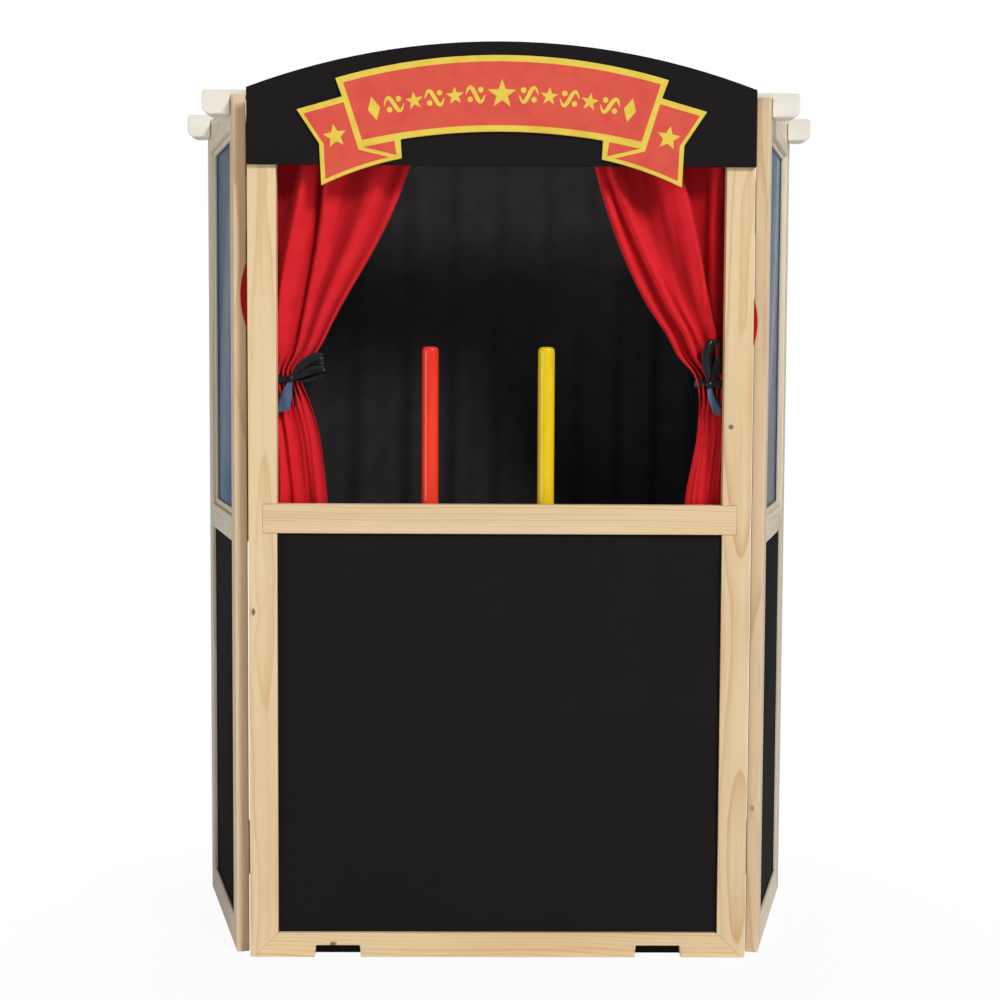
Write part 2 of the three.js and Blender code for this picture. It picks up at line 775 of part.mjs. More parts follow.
['left', 'right'].forEach((side) => {
  const out = side === 'left' ? -1 : 1;
  const wing = new THREE.Group();
  wing.position.set(out * halfWidth, hingeAxisY, 0);
  wing.rotation.z = -out * wingAngle;
  stand.add(wing);
  const place = (piece, geometry, finish) => {
    add(wing, `${side}_wing_${piece}`, forSide(side, geometry), finish);
  };
  const rearRadii = [0, wingToeRadius, wingToeRadius, 0];
  place('front_stile', wingStile(wingEdgeGap, [0, 0, 0, 0]), paleWood);
  place('rear_stile', wingStile(wingRearEdge - wingStileWidth, rearRadii), paleWood);
  place('top_rail', wingRail(topRailBottom, wingHeight), paleWood);
  place('middle_rail', wingRail(midRailBottom, wingMidRailTop), paleWood);
  place('bottom_rail', wingRail(0, wingBottomRailHeight), paleWood);
  place('lower_panel', lowerInfill(0), blackBoard);
  place('window', paneInfill(0), clearPane);
  place('window_bead', paneBead(), paleWood);

  const front = new THREE.Group();
  front.position.copy(wing.position);
  stand.add(front);
  [['lower', lowerHingeHeight], ['upper', upperHingeHeight]].forEach(([level, height]) => {
    const z0 = height - hingeHeight / 2;
    const pin = roundBar(hingePinRadius, z0, z0 + hingeHeight);
    add(front, `${side}_${level}_hinge_leaf`, forSide(side, frameLeaf(z0)), zincSteel);
    add(front, `${side}_${level}_hinge_pin`, pin, zincSteel);
    place(`${level}_hinge_leaf`, wingLeaf(z0), zincSteel);
  });
});

// Cross bars: a thin slat over the wings' tops, with a stop block glued under each end that
// hooks down outside the wing. Slat and blocks are rounded together at their outer ends.
function crossBar(name, endLength, y0) {
  const wingFaceX = halfWidth + wingOutside / Math.cos(wingAngle);
  const halfLength = wingFaceX + (y0 + barDepth - hingeAxisY) * Math.tan(wingAngle) + endLength;
  const outline = board(
    roundedRectangle(
      -halfLength, halfLength, barBottom, barTop,
      [barLowerRadius, barLowerRadius, barUpperRadius, barUpperRadius],
    ),
    y0,
    barDepth,
  );
  const below = block(
    -halfLength - cutLength,
    halfLength + cutLength,
    y0 - cutLength,
    y0 + barDepth + cutLength,
    barBottom - cutLength,
    barUnderside,
  );
  const inboard = block(
    -2 * halfLength,
    wingOutside + hookClearance,
    -halfWidth,
    wingRearEdge + barDepth,
    barBottom - cutLength,
    barTop + cutLength,
  ).rotateZ(-wingAngle).translate(halfWidth, hingeAxisY, 0);
  const above = cut(outline, below);
  const stop = cut(outline, above, inboard);
  add(stand, name, above, paleWood);
  add(stand, `${name}_left_stop`, mirrored(stop), paleWood);
  add(stand, `${name}_right_stop`, stop, paleWood);
}

crossBar('front_bar', frontBarEndLength, frameBack + frontBarOffset);
crossBar('rear_bar', rearBarEndLength, rearBarFront);

// Backdrop: a black cloth in soft pleats, fixed along the rear bar's underside.
const foldAtTopShare = 0.3;

function backdrop() {
  const top = barUnderside - seatGap;
  const middle = rearBarFront + barDepth / 2;
  const reach = halfWidth + backdropOverhangWidth;
  const columns = backdropFolds * backdropFoldSteps;
  const surface = (sign) => (u, v) => {
    const wave = Math.sin(u * backdropFolds * 2 * Math.PI);
    const fold = backdropFoldDepth * wave * Math.min(1, foldAtTopShare + v);
    return [
      reach * (2 * u - 1),
      middle + fold + (sign * clothThickness) / 2,
      top - (top - backdropBottom) * v,
    ];
  };
  return sheetBetween(columns, backdropRows, surface(-1), surface(1));
}

add(stand, 'backdrop', backdrop(), blackCloth);

export default stand;
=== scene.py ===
import json
import math

import bmesh
import bpy
import numpy as np
from mathutils import Matrix, Vector

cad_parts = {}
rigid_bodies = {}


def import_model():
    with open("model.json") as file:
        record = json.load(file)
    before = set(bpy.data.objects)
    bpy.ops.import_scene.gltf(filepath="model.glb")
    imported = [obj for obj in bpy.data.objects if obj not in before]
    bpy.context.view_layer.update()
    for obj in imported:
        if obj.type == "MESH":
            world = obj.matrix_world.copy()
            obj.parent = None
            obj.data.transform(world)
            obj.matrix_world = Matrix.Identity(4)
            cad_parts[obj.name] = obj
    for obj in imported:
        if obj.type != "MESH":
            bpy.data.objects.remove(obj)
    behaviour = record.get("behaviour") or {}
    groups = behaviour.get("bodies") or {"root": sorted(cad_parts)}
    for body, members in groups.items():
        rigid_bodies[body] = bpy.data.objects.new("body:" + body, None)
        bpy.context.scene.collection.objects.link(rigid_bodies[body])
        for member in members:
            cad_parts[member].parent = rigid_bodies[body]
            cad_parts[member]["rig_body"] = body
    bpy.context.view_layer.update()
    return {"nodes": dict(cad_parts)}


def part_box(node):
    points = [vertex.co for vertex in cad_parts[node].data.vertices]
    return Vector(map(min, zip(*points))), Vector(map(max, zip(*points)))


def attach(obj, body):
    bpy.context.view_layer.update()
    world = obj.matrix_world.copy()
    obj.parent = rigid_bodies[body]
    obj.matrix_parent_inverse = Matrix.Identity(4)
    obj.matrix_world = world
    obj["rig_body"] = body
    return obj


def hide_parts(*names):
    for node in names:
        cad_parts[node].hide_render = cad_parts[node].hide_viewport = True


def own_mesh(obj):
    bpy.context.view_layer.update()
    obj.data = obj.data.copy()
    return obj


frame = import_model()

# Camera and studio: the view stands a little left of the stage and looks slightly down, as the
# photograph does. A big soft lamp hangs high in front on the right, and a weak one stands low on
# the left. A white room fills in. Far away the pale floor goes over into the white of the room.
scene = bpy.context.scene
scene.view_settings.view_transform = "Standard"

picture_side = 1000
focal_pixels = 1841.47
camera_place = (-0.02875, -2.5673, 0.83009)
camera_pitch = 0.0704
camera_yaw = 0.0112
camera_roll = 0.0049


def added(name, data):
    """A new object of that data, linked to the scene."""
    made = bpy.data.objects.new(name, data)
    scene.collection.objects.link(made)
    return made


camera = added("camera", bpy.data.cameras.new("camera"))
camera.data.lens = focal_pixels * camera.data.sensor_width / picture_side
camera.matrix_world = (
    Matrix.Translation(camera_place)
    @ Matrix.Rotation(-camera_yaw, 4, "Z")
    @ Matrix.Rotation(math.pi / 2 - camera_pitch, 4, "X")
    @ Matrix.Rotation(camera_roll, 4, "Z")
)
scene.camera = camera


def feed(node, values):
    """Feeds a node's inputs by order or by key: a socket is linked, any other value is set."""
    pairs = values.items() if isinstance(values, dict) else enumerate(values)
    for key, value in pairs:
        if isinstance(value, bpy.types.NodeSocket):
            node.id_data.links.new(value, node.inputs[key])
        else:
            node.inputs[key].default_value = value


def put(tree, kind, values=(), out=0, **fields):
    """Adds a node, sets its fields, feeds its inputs and gives one of its outputs."""
    made = tree.nodes.new(kind)
    for field, value in fields.items():
        setattr(made, field, value)
    feed(made, values)
    return made.outputs[out]


def math_of(kind, *values, node="ShaderNodeMath", out=0):
    """A Math node of that kind, in the tree of the first socket among its values."""
    sockets = [value for value in values if isinstance(value, bpy.types.NodeSocket)]
    return put(sockets[0].id_data, node, values, out, operation=kind)


def vector_of(kind, *values, out=0):
    """A Vector Math node of that kind."""
    return math_of(kind, *values, node="ShaderNodeVectorMath", out=out)


def times(first, second):
    """Two values multiplied."""
    return math_of("MULTIPLY", first, second)


def scaled(value, gain, shift):
    """A value times a gain, plus a shift."""
    return math_of("MULTIPLY_ADD", value, gain, shift)


def ramp_of(value, low, high, to_low=0.0, to_high=1.0):
    """A value taken smoothly from one range to another."""
    values = (value, low, high, to_low, to_high)
    return put(value.id_data, "ShaderNodeMapRange", values, interpolation_type="SMOOTHSTEP")


def colour(red, green, blue):
    """A screen colour from 0 to 255 as the linear colour that a shader takes."""
    return [((value / 255 + 0.055) / 1.055) ** 2.4 for value in (red, green, blue)] + [1.0]


def finish_of(name, **sockets):
    """A material with one Principled surface whose plain sockets are set by name."""
    material = bpy.data.materials.new(name)
    material.use_nodes = True
    surface = material.node_tree.nodes["Principled BSDF"]
    feed(surface, {label.replace("_", " "): value for label, value in sockets.items()})
    return material, material.node_tree, surface


white = (1, 1, 1, 1)
room_light = 0.18
room_slope = 0.1
room_gloss = 0.25
room_white = 1.0
world = bpy.data.worlds.new("white room")
world.use_nodes = True
scene.world = world
room = world.node_tree
toward = put(room, "ShaderNodeSeparateXYZ", [put(room, "ShaderNodeTexCoord")])
lit = scaled(toward, room_light * room_slope, room_light)
lit = scaled(put(room, "ShaderNodeLightPath", out=3), room_gloss, lit)
share = put(room, "ShaderNodeMix", {0: put(room, "ShaderNodeLightPath"), 2: lit, 3: room_white})
feed(room.nodes["Background"], {"Color": white, "Strength": share})


def soft_lamp(name, place, aim, side, watts):
    """A square lamp with its face turned to the point that it lights."""
    lamp = added(name, bpy.data.lights.new(name, "AREA"))
    lamp.data.size = side
    lamp.data.energy = watts
    turn = (Vector(aim) - Vector(place)).to_track_quat("-Z", "Y")
    lamp.matrix_world = Matrix.Translation(place) @ turn.to_matrix().to_4x4()


stage_middle = (0, 0, 0.75)
soft_lamp("key_lamp", (6.0, -8.7, 8.6), stage_middle, 2.8, 1060)
soft_lamp("fill_lamp", (-3.2, -1.6, 0.9), stage_middle, 1.6, 26)

floor_half = 9.0
floor_drop = 0.0003
floor_clear = 0.3
floor_gone = 0.9
floor_veil = 0.93
floor_corners = ((-1, -1), (1, -1), (1, 1), (-1, 1))
floor = added("floor", bpy.data.meshes.new("floor"))
floor.data.from_pydata(
    [(x * floor_half, y * floor_half, -floor_drop) for x, y in floor_corners], [], [(0, 1, 2, 3)])
pale, tree, surface = finish_of(
    "pale floor", Base_Color=(0.97, 0.97, 0.97, 1), Roughness=1.0, Specular_IOR_Level=0.0)
from_middle = vector_of("LENGTH", put(tree, "ShaderNodeTexCoord", out=3), out=1)
far = ramp_of(from_middle, floor_clear, floor_gone, floor_veil)
shown = times(far, put(tree, "ShaderNodeLightPath"))
glow = put(tree, "ShaderNodeEmission", {"Color": white, "Strength": room_white})
both = put(tree, "ShaderNodeMixShader", (shown, surface.outputs[0], glow))
feed(tree.nodes["Material Output"], {"Surface": both})
floor.data.materials.append(pale)

# Pine frame: planed pine under a thin satin varnish. The bottom rail is mitred to the stiles, the
# sill's tongues are let into their faces, and the top rail is hidden behind the header.
# Every edge is broken with sandpaper, but the edges that meet in a joint stay nearly sharp.
merge_distance = 2e-5
flat_angle = math.radians(1)
sharp_angle = math.radians(30)
sanded_radius = 0.0013
joint_share = 0.25
joint_reach = 0.0015
round_steps = 3


def modified(piece, kind, **fields):
    """Gives a piece a modifier of that kind, with its fields set."""
    modifier = piece.modifiers.new(kind.lower(), kind)
    for field, value in fields.items():
        setattr(modifier, field, value)


def dressed(piece, material, slot, *nodes, body="front_frame"):
    """Gives a piece its material and its body, and hides the CAD nodes it stands for. The slot is not used.
    """
    piece.data.materials.clear()
    piece.data.materials.append(material)
    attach(piece, body)
    if nodes:
        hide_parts(*nodes)
    return piece


def rounded(node, radius, material, slot, in_joint=None):
    """A CAD node again, with its corners merged, its flat faces whole and its sharp edges rounded.

    Edges whose middle in_joint picks get joint_share of the radius."""
    mesh = frame["nodes"][node].data.copy()
    solid = bmesh.new()
    solid.from_mesh(mesh)
    bmesh.ops.remove_doubles(solid, verts=solid.verts, dist=merge_distance)
    bmesh.ops.dissolve_limit(solid, angle_limit=flat_angle, verts=solid.verts, edges=solid.edges)
    weight = solid.edges.layers.float.new("bevel_weight_edge")
    for edge in solid.edges:
        if edge.calc_face_angle(0) > sharp_angle:
            middle = (edge.verts[0].co + edge.verts[1].co) / 2
            edge[weight] = joint_share if in_joint and in_joint(middle) else 1.0
    solid.to_mesh(mesh)
    solid.free()
    mesh.shade_smooth()
    piece = added(f"{node}_finished", mesh)
    modified(piece, "BEVEL", width=radius, segments=round_steps, limit_method="WEIGHT", harden_normals=True)
    dressed(piece, material, slot, node, body=frame["nodes"][node]["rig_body"])


def group_of(name, inputs, outputs):
    """An empty node group with sockets of {kind: labels}: its tree, its inputs and its output node."""
    tree = bpy.data.node_groups.new(name, "ShaderNodeTree")
    for way, sockets in (("INPUT", inputs), ("OUTPUT", outputs)):
        for kind, labels in sockets.items():
            for label in labels:
                tree.interface.new_socket(name=label, in_out=way, socket_type=f"NodeSocket{kind}")
    given = list(tree.nodes.new("NodeGroupInput").outputs)[:-1]
    return tree, given, tree.nodes.new("NodeGroupOutput")


def noise_of(place, stretch, detail=2.0, rough=0.5, out=0):
    """Noise at a place stretched by three counts per metre."""
    spread = vector_of("MULTIPLY", place, stretch)
    values = {"Vector": spread, "Scale": 1.0, "Detail": detail, "Roughness": rough}
    return put(place.id_data, "ShaderNodeTexNoise", values, out)


def mix_of(share, first, second, blend="MIX"):
    """Two colours mixed by a share."""
    values = {0: share, 6: first, 7: second}
    return put(share.id_data, "ShaderNodeMix", values, 2, data_type="RGBA", blend_type=blend)


painted = {"Color": ["Color"], "Float": ["Roughness", "Height"]}
warm_tint = (0.86, 0.62, 0.44, 1)
knot_brown = colour(88, 52, 32)
knot_ring_turns = 4200


def timber_group():
    """Growth rings are the distance from a heart line that sways along Z, counted in ring widths.

    Each ring darkens slowly into its late wood and starts again. A knot pushes the rings aside."""
    tree, given, gives = group_of("planed timber", {
        "Vector": ["Place", "Heart", "Knot"], "Color": ["Light wood", "Late wood"],
        "Float": ["Ring width", "Seed", "Contrast", "Knot radius"]}, painted)
    place, heart, knot, light, late, width, seed, contrast, knot_radius = given
    shift = [times(seed, step) for step in (0.37, 0.61, 1.73)]
    own = vector_of("ADD", place, put(tree, "ShaderNodeCombineXYZ", shift))
    from_heart = vector_of("SUBTRACT", place, heart)
    for across, along, reach in ((5, 1.5, 0.03), (26, 9, 0.0022)):
        sway = noise_of(own, (across, across, along), out=1)
        sway = vector_of("MULTIPLY_ADD", sway, (reach, reach, 0), (-reach / 2, -reach / 2, 0))
        from_heart = vector_of("ADD", from_heart, sway)
    from_knot = vector_of("MULTIPLY", vector_of("SUBTRACT", place, knot), (1, 1, 0.6))
    away = vector_of("LENGTH", from_knot, out=1)
    push = math_of("POWER", math_of("DIVIDE", knot_radius, math_of("ADD", away, knot_radius)), 2.0)
    push = times(push, times(knot_radius, 3))
    reach = vector_of("LENGTH", vector_of("MULTIPLY", from_heart, (1, 1, 0)), out=1)
    count = math_of("DIVIDE", math_of("ADD", reach, push), width)
    part = math_of("FRACT", count)
    ring = times(math_of("POWER", part, 3.0), ramp_of(part, 1.0, 0.9))
    of_ring = {"W": times(math_of("FLOOR", count), 1.7), "Scale": 1.0}
    tone = ramp_of(put(tree, "ShaderNodeTexNoise", of_ring, noise_dimensions="1D"), 0.25, 0.75, 0.2, 1.0)
    fibre = noise_of(own, (520, 520, 11), 3, 0.6)
    streak = noise_of(own, (85, 85, 1.6), 3)
    depth = scaled(times(ring, tone), contrast, -0.6)
    depth = scaled(streak, 0.8, scaled(fibre, 0.4, depth))
    wood = mix_of(put(tree, "ShaderNodeClamp", [depth]), light, late)
    warm = ramp_of(noise_of(own, (14, 14, 2.2)), 0.45, 0.75, 0.0, 0.28)
    wood = mix_of(warm, wood, warm_tint, "MULTIPLY")
    edges = [times(knot_radius, share) for share in (1.25, 0.35)]
    grain = math_of("SINE", times(away, knot_ring_turns))
    core = times(ramp_of(away, *edges), scaled(grain, 0.1, 0.85))
    feed(gives, {
        "Color": mix_of(core, wood, knot_brown), "Roughness": scaled(fibre, 0.16, 0.36),
        "Height": scaled(fibre, 0.5, times(ring, -0.5))})
    return tree


def bumped(surface, height, strength, distance):
    """Feeds a height into the surface's normal."""
    values = {"Strength": strength, "Distance": distance, "Height": height}
    feed(surface, {"Normal": put(surface.id_data, "ShaderNodeBump", values)})


def surfaced(surface, group, values, strength, distance):
    """Places a node group that gives Color, Roughness and Height, and feeds the surface with them."""
    made = put(surface.id_data, "ShaderNodeGroup", values, node_tree=group).node.outputs
    feed(surface, {"Base Color": made["Color"], "Roughness": made["Roughness"]})
    bumped(surface, made["Height"], strength, distance)


planed_timber = timber_group()
no_knot = (0, 0, -9)
light_pine = colour(243, 216, 172)
late_pine = colour(208, 158, 100)
grain_turn = {"Z": (0, 0, 0), "X": (0, math.pi / 2, 0), "Y": (math.pi / 2, 0, 0)}


def timber(name, grain="Z", seed=0.0, heart=(0, 0.05, 0), knot=no_knot, knot_radius=0.0034, turn=0.0,
           light=light_pine, late=late_pine, contrast=0.95, ring=0.0042):
    """Varnished wood whose grain runs along an axis of the object, after a turn about Z."""
    material, tree, surface = finish_of(
        name, Coat_Weight=0.12, Coat_Roughness=0.35, Coat_IOR=1.45, Specular_IOR_Level=0.35)
    place = put(tree, "ShaderNodeTexCoord", out=3)
    if turn:
        place = put(tree, "ShaderNodeVectorRotate", {"Vector": place, "Angle": turn}, rotation_type="Z_AXIS")
    place = put(tree, "ShaderNodeMapping", {"Vector": place, "Rotation": grain_turn[grain]})
    values = (place, heart, knot, light, late, ring, seed, contrast, knot_radius)
    surfaced(surface, planed_timber, values, 0.35, 0.0002)
    return material


stile_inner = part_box("right_stile")[0].x
sill_low, sill_high = (corner.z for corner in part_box("sill_rail"))
rail_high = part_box("bottom_rail")[1].z


def near_joint(middle):
    """Whether an edge's middle lies on the sill's housing or on the mitre."""
    at_sill = sill_low - joint_reach < middle.z < sill_high + joint_reach
    at_mitre = joint_reach < middle.z < rail_high - joint_reach
    return (at_sill or at_mitre) and abs(middle.x) > stile_inner - joint_reach


frame_timber = {
    "left_stile": ("Z", 1.3, (-0.328, 0.055, 0), (-0.3438, -0.01, 0.4916)),
    "right_stile": ("Z", 4.7, (0.338, 0.06, 0)),
    "bottom_rail": ("X", 2.9, (-0.02, 0.03, 0), (0.0192, -0.01, 0.2330)),
    "sill_rail": ("X", 6.1, (-0.6, 0.11, 0)),
    "top_rail": ("X", 8.4, (-1.19, 0.05, 0)),
}
for node, growth in frame_timber.items():
    pine = timber(f"{node} pine", *growth, contrast=0.8 if node == "sill_rail" else 0.95)
    rounded(node, sanded_radius, pine, "pine", near_joint)

# Black boards: thin fibreboard under a flat black paint. The arched header is glued and screwed to
# the faces of the stiles. The lower board is pinned into the frame from behind with a square pine
# bead, and a strip on the back of the bottom rail closes its notches.
board_radius = 0.0008
bead_radius = 0.0009
# Clouds between these values of the noise change evenly, and not in patches.
even_clouds = (-0.25, 1.25)


def coat_group():
    """A coat's colour drifts in clouds from base to deep. Its fine skin changes the roughness."""
    tree, given, gives = group_of("uneven coat", {
        "Vector": ["Place", "Clouds", "Skin", "Waves"], "Color": ["Base", "Deep"],
        "Float": ["Cloud detail", "Clouds from", "Clouds to", "Skin detail", "Rough gain", "Rough base"]},
        painted)
    place, clouds, skin, waves, base, deep, cloud_detail, low, high, detail, gain, least = given
    cloud = ramp_of(noise_of(place, clouds, cloud_detail), low, high)
    feed(gives, {
        "Color": mix_of(cloud, base, deep), "Height": noise_of(place, waves, detail),
        "Roughness": scaled(noise_of(place, skin, detail), gain, least)})
    return tree


uneven_coat = coat_group()


def coated(name, colours, clouds, skin, rough, bump, waves=None, **sockets):
    """A coat with clouds (counts, detail, from, to), a skin (counts, detail) and a roughness (gain,
    base). Its relief is the skin's, or that of its own waves."""
    material, tree, surface = finish_of(name, **sockets)
    place = put(tree, "ShaderNodeTexCoord", out=3)
    values = (place, clouds[0], skin[0], waves or skin[0], *colours, *clouds[1:], skin[1], *rough)
    surfaced(surface, uneven_coat, values, *bump)
    return material


black_board = coated(
    "flat black paint", (colour(31, 29, 30), colour(36, 33, 34)), ((7, 7, 7), 2, *even_clouds),
    ((700, 700, 700), 3), (0.2, 0.62), (0.2, 0.0001), Specular_IOR_Level=0.02)
for node in ("header_board", "lower_panel", "skirting_strip"):
    rounded(node, board_radius, black_board, "black_board")
rounded("panel_bead", bead_radius, timber("panel bead pine", "X", 9.2, (0.3, 0.06, 0)), "pine")

# Banner: a thin cut-out board, painted yellow all over. The red fields of the bowed ribbon, of its
# swallow tails and of the two folds are painted on it in a second coat, which leaves the border.
# Stars and a plain garland of scrolls and diamonds are printed last.
banner_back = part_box("banner_board")[1].y
banner_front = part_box("banner_board")[0].y
ribbon_top_half = 0.228
ribbon_top_corner = 1.2265
ribbon_top = 1.259
ribbon_low_corner = (0.1970, 1.1327)
ribbon_low = 1.1556
tail_meets = (0.2188, 1.2018)
tail_tip = (0.2808, 1.184)
tail_notch = (0.2500, 1.1378)
tail_low = (0.2472, 1.0813)
tail_bow = 0.0037
fold_low = (0.1370, 1.1186)
fold_top = (0.1409, 1.1440)
ribbon_border = 0.0087
tail_borders = {"fold": 0.0025, "low": 0.0052, "side": 0.0063, "notch": 0.005, "top": 0.0082}
fold_overlap = 0.0005
paint_step = 0.00025
cut_angle = math.radians(60)


def polar(reach, angle):
    """Flat points at a reach from the origin, at angles counted to the left from the right."""
    return np.stack([reach * np.cos(angle), reach * np.sin(angle)], axis=-1)


def arch(half, corner, top, steps=40):
    """Points of the circle through (-half, corner), (0, top) and (half, corner), from right to left."""
    rise = top - corner
    radius = (half * half + rise * rise) / (2 * rise)
    angle = math.pi / 2 + np.linspace(-1, 1, steps + 1) * math.asin(half / radius)
    return polar(radius, angle) + (0, top - radius)


def unit(vectors):
    """The vectors of an array's last axis, each with the length 1."""
    return vectors / np.linalg.norm(vectors, axis=-1, keepdims=True)


def left_of(way):
    """Flat vectors turned a quarter to the left."""
    return way[..., ::-1] * (-1, 1)


def bowed(start, end, bow, steps=8):
    """Points from start to end on a shallow parabola that rises by bow to the left of the way."""
    way = np.array(end) - start
    share = np.linspace(0, 1, steps + 1)[:, None]
    return start + way * share + left_of(unit(way)) * bow * 4 * share * (1 - share)


def inset(outline, borders):
    """An outline that runs anticlockwise, with each side moved inwards by its own border.

    Corner i is where the moved sides i - 1 and i cross."""
    side = unit(np.roll(outline, -1, axis=0) - outline)
    start = outline + left_of(side) * np.array(borders)[:, None]
    before_side, before = np.roll(side, 1, axis=0), np.roll(start, 1, axis=0)
    gap = start - before
    crossing = before_side[:, 0] * side[:, 1] - before_side[:, 1] * side[:, 0]
    along = (gap[:, 0] * side[:, 1] - gap[:, 1] * side[:, 0]) / crossing
    return before + before_side * along[:, None]


def solid_of(name, points, faces):
    """A flat-shaded object from points and faces, with its faces turned outwards."""
    mesh = bpy.data.meshes.new(name)
    mesh.from_pydata(points, [], faces)
    turned = bmesh.new()
    turned.from_mesh(mesh)
    bmesh.ops.recalc_face_normals(turned, faces=turned.faces)
    turned.to_mesh(mesh)
    turned.free()
    return added(name, mesh)


def plates(name, outlines, front, back):
    """Flat closed plates: each outline in X and Z, as a face at front, a face at back and a rim."""
    points, faces = [], []
    for outline in outlines:
        first, count = len(points), len(outline)
        points += [(x, y, z) for y in (front, back) for x, z in outline]
        ring = [first + i for i in range(count)]
        faces += [ring, [i + count for i in reversed(ring)]]
        faces += [(a, a + count, b + count, b) for a, b in zip(ring, ring[1:] + ring[:1])]
    return solid_of(name, points, faces)


def both_sides(outline):
    """The outline and its mirror image, both running anticlockwise."""
    return [outline, (outline * (-1, 1))[::-1]]


def sign_paint(name, *colours):
    """Flat sign paint, a little uneven where the coat is thinner."""
    return coated(
        name, colours, ((40, 40, 40), 4, 0.4, 0.7), ((900, 900, 900), 2), (0.12, 0.5), (0.15, 0.0001),
        Specular_IOR_Level=0.2)


sign_yellow = sign_paint("sign yellow", colour(242, 215, 86), colour(236, 203, 74))
sign_red = sign_paint("sign red", colour(231, 92, 74), colour(226, 82, 72))

ribbon_upper = arch(ribbon_top_half, ribbon_top_corner, ribbon_top)
ribbon_lower = arch(*ribbon_low_corner, ribbon_low)[::-1]
tail_side = np.array([*bowed(fold_low, tail_low, tail_bow), tail_notch, tail_tip, tail_meets])
right_tail, left_tail = both_sides(tail_side)
under_ribbon = ribbon_lower[np.abs(ribbon_lower[:, 0]) < fold_top[0]]
banner_outline = [*ribbon_upper, *left_tail, *under_ribbon, *right_tail]
banner = plates("banner_finished", [banner_outline], banner_front, banner_back)
modified(banner, "BEVEL", width=board_radius, segments=2, angle_limit=cut_angle)
dressed(banner, sign_yellow, "banner_paint", "banner_board")

ribbon_outline = np.concatenate([ribbon_upper, ribbon_lower])
tail_outline = np.array([ribbon_low_corner, *tail_side])
tail_insets = [tail_borders["low"]] * len(tail_outline)
tail_insets[0] = tail_borders["fold"]
tail_insets[-4:] = [tail_borders[side] for side in ("side", "notch", "top")] + [0]
fold_outline = np.array([fold_low, ribbon_low_corner, fold_top])
red_fields = [inset(ribbon_outline, [ribbon_border] * len(ribbon_outline))]
red_fields += both_sides(inset(tail_outline, tail_insets))
red_fields += both_sides(inset(fold_outline, [tail_borders["fold"], fold_overlap, tail_borders["side"]]))
red_coat = plates("banner_red_fields", red_fields, banner_front - paint_step, banner_front)
dressed(red_coat, sign_red, "banner_paint")

garland_radius = 0.752
garland_rise = 0.0505
garland_middle = ribbon_low + garland_rise - garland_radius
tail_star_place = (0.2280, 1.1480)
tail_star_radius = 0.0167
tail_star_tilt = 0.18
tail_star_waist = 0.45
middle_star_radius = 0.0205
small_star_radius = 0.0128
star_waist = 0.4
diamond_half = (0.0085, 0.0165)
dot_radius = 0.0038
dot_shares = np.array((0.55, 0.6))
scroll_half = np.array((0.0136, 0.0102))
scroll_width = 0.0056
scroll_places = (0.0365, 0.0925, 0.1485)
star_places = (0.0645, 0.1205)
end_place = 0.1765


def turns_of(count):
    """Angles that divide a whole turn evenly."""
    return np.arange(count) * 2 * math.pi / count


def star(radius, tilt=0.0, waist=star_waist):
    """A five-pointed star: ten corners, each second one at the waist."""
    return polar(np.array([radius, radius * waist] * 5), turns_of(10) + math.pi / 2 + tilt)


def scroll(half, width, hand, steps=24):
    """An S-shaped scroll: a sine stroke, widest in its middle and pointed at both ends."""
    along = np.linspace(-1, 1, steps + 1)
    line = np.stack([along, hand * np.sin(along * math.pi)], axis=1) * half
    side = (width * (1 - along ** 2) ** 0.7 / 2)[:, None] * left_of(unit(np.gradient(line, axis=0)))
    return np.concatenate([line - side, (line + side)[-2:0:-1]])


def on_garland(shape, place):
    """A shape drawn round the origin, set on the garland's arc at a distance from its middle."""
    angle = math.pi / 2 - (place + shape[:, 0]) / garland_radius
    return polar(garland_radius + shape[:, 1], angle) + (0, garland_middle)


ornaments = [on_garland(star(middle_star_radius), 0)]
for hand in (-1, 1):
    for place in scroll_places:
        ornaments.append(on_garland(scroll(scroll_half, scroll_width, hand), hand * place))
        for side in (-1, 1):
            dot_middle = scroll_half * dot_shares * (side, -side * hand)
            ornaments.append(on_garland(polar(dot_radius, turns_of(18)) + dot_middle, hand * place))
    for place in star_places:
        ornaments.append(on_garland(star(small_star_radius), hand * place))
    diamond = np.array([(1, 0), (0, 1), (-1, 0), (0, -1)]) * diamond_half
    ornaments.append(on_garland(diamond, hand * end_place))
    tail_star = star(tail_star_radius, -hand * tail_star_tilt, tail_star_waist)
    ornaments.append(tail_star + (hand * tail_star_place[0], tail_star_place[1]))
garland_front, garland_back = banner_front - 2 * paint_step, banner_front - paint_step / 2
yellow_coat = plates("banner_garland", ornaments, garland_front, garland_back)
dressed(yellow_coat, sign_yellow, "banner_paint")

# Socket rail and posts: the pine rail is glued behind the sill. The two turned hardwood posts
# stand in its blind holes, dipped in a glossy enamel, and lift out by hand.
# The ends of turned pieces: rows of radius and of distance from the end, as shares of the radius.
post_foot = ((0.898, 0.0), (1, 0.102))
post_dome = ((1, 0.62), (0.985, 0.44), (0.93, 0.27), (0.82, 0.14), (0.66, 0.06), (0.42, 0.015), (0.12, 0.0))


def loft(name, *parts):
    """Closed solids through rings of points (ring, point, axis), with a flat face on both ends.

    They are shaded smooth, but their sharp edges stay sharp."""
    points, faces = [], []
    for rings in parts:
        rings = np.array(rings)
        count, size = rings.shape[:2]
        at = np.arange(count * size).reshape(count, size) + len(points)
        near, far = at[:-1], at[1:]
        sides = np.stack([near, np.roll(near, -1, axis=1), np.roll(far, -1, axis=1), far], axis=2)
        faces += sides.reshape(-1, 4).tolist() + [at[0].tolist(), at[-1].tolist()[::-1]]
        points += rings.reshape(-1, 3).tolist()
    piece = solid_of(name, points, faces)
    piece.data.shade_smooth()
    piece.data.set_sharp_from_angle(angle=sharp_angle)
    return piece


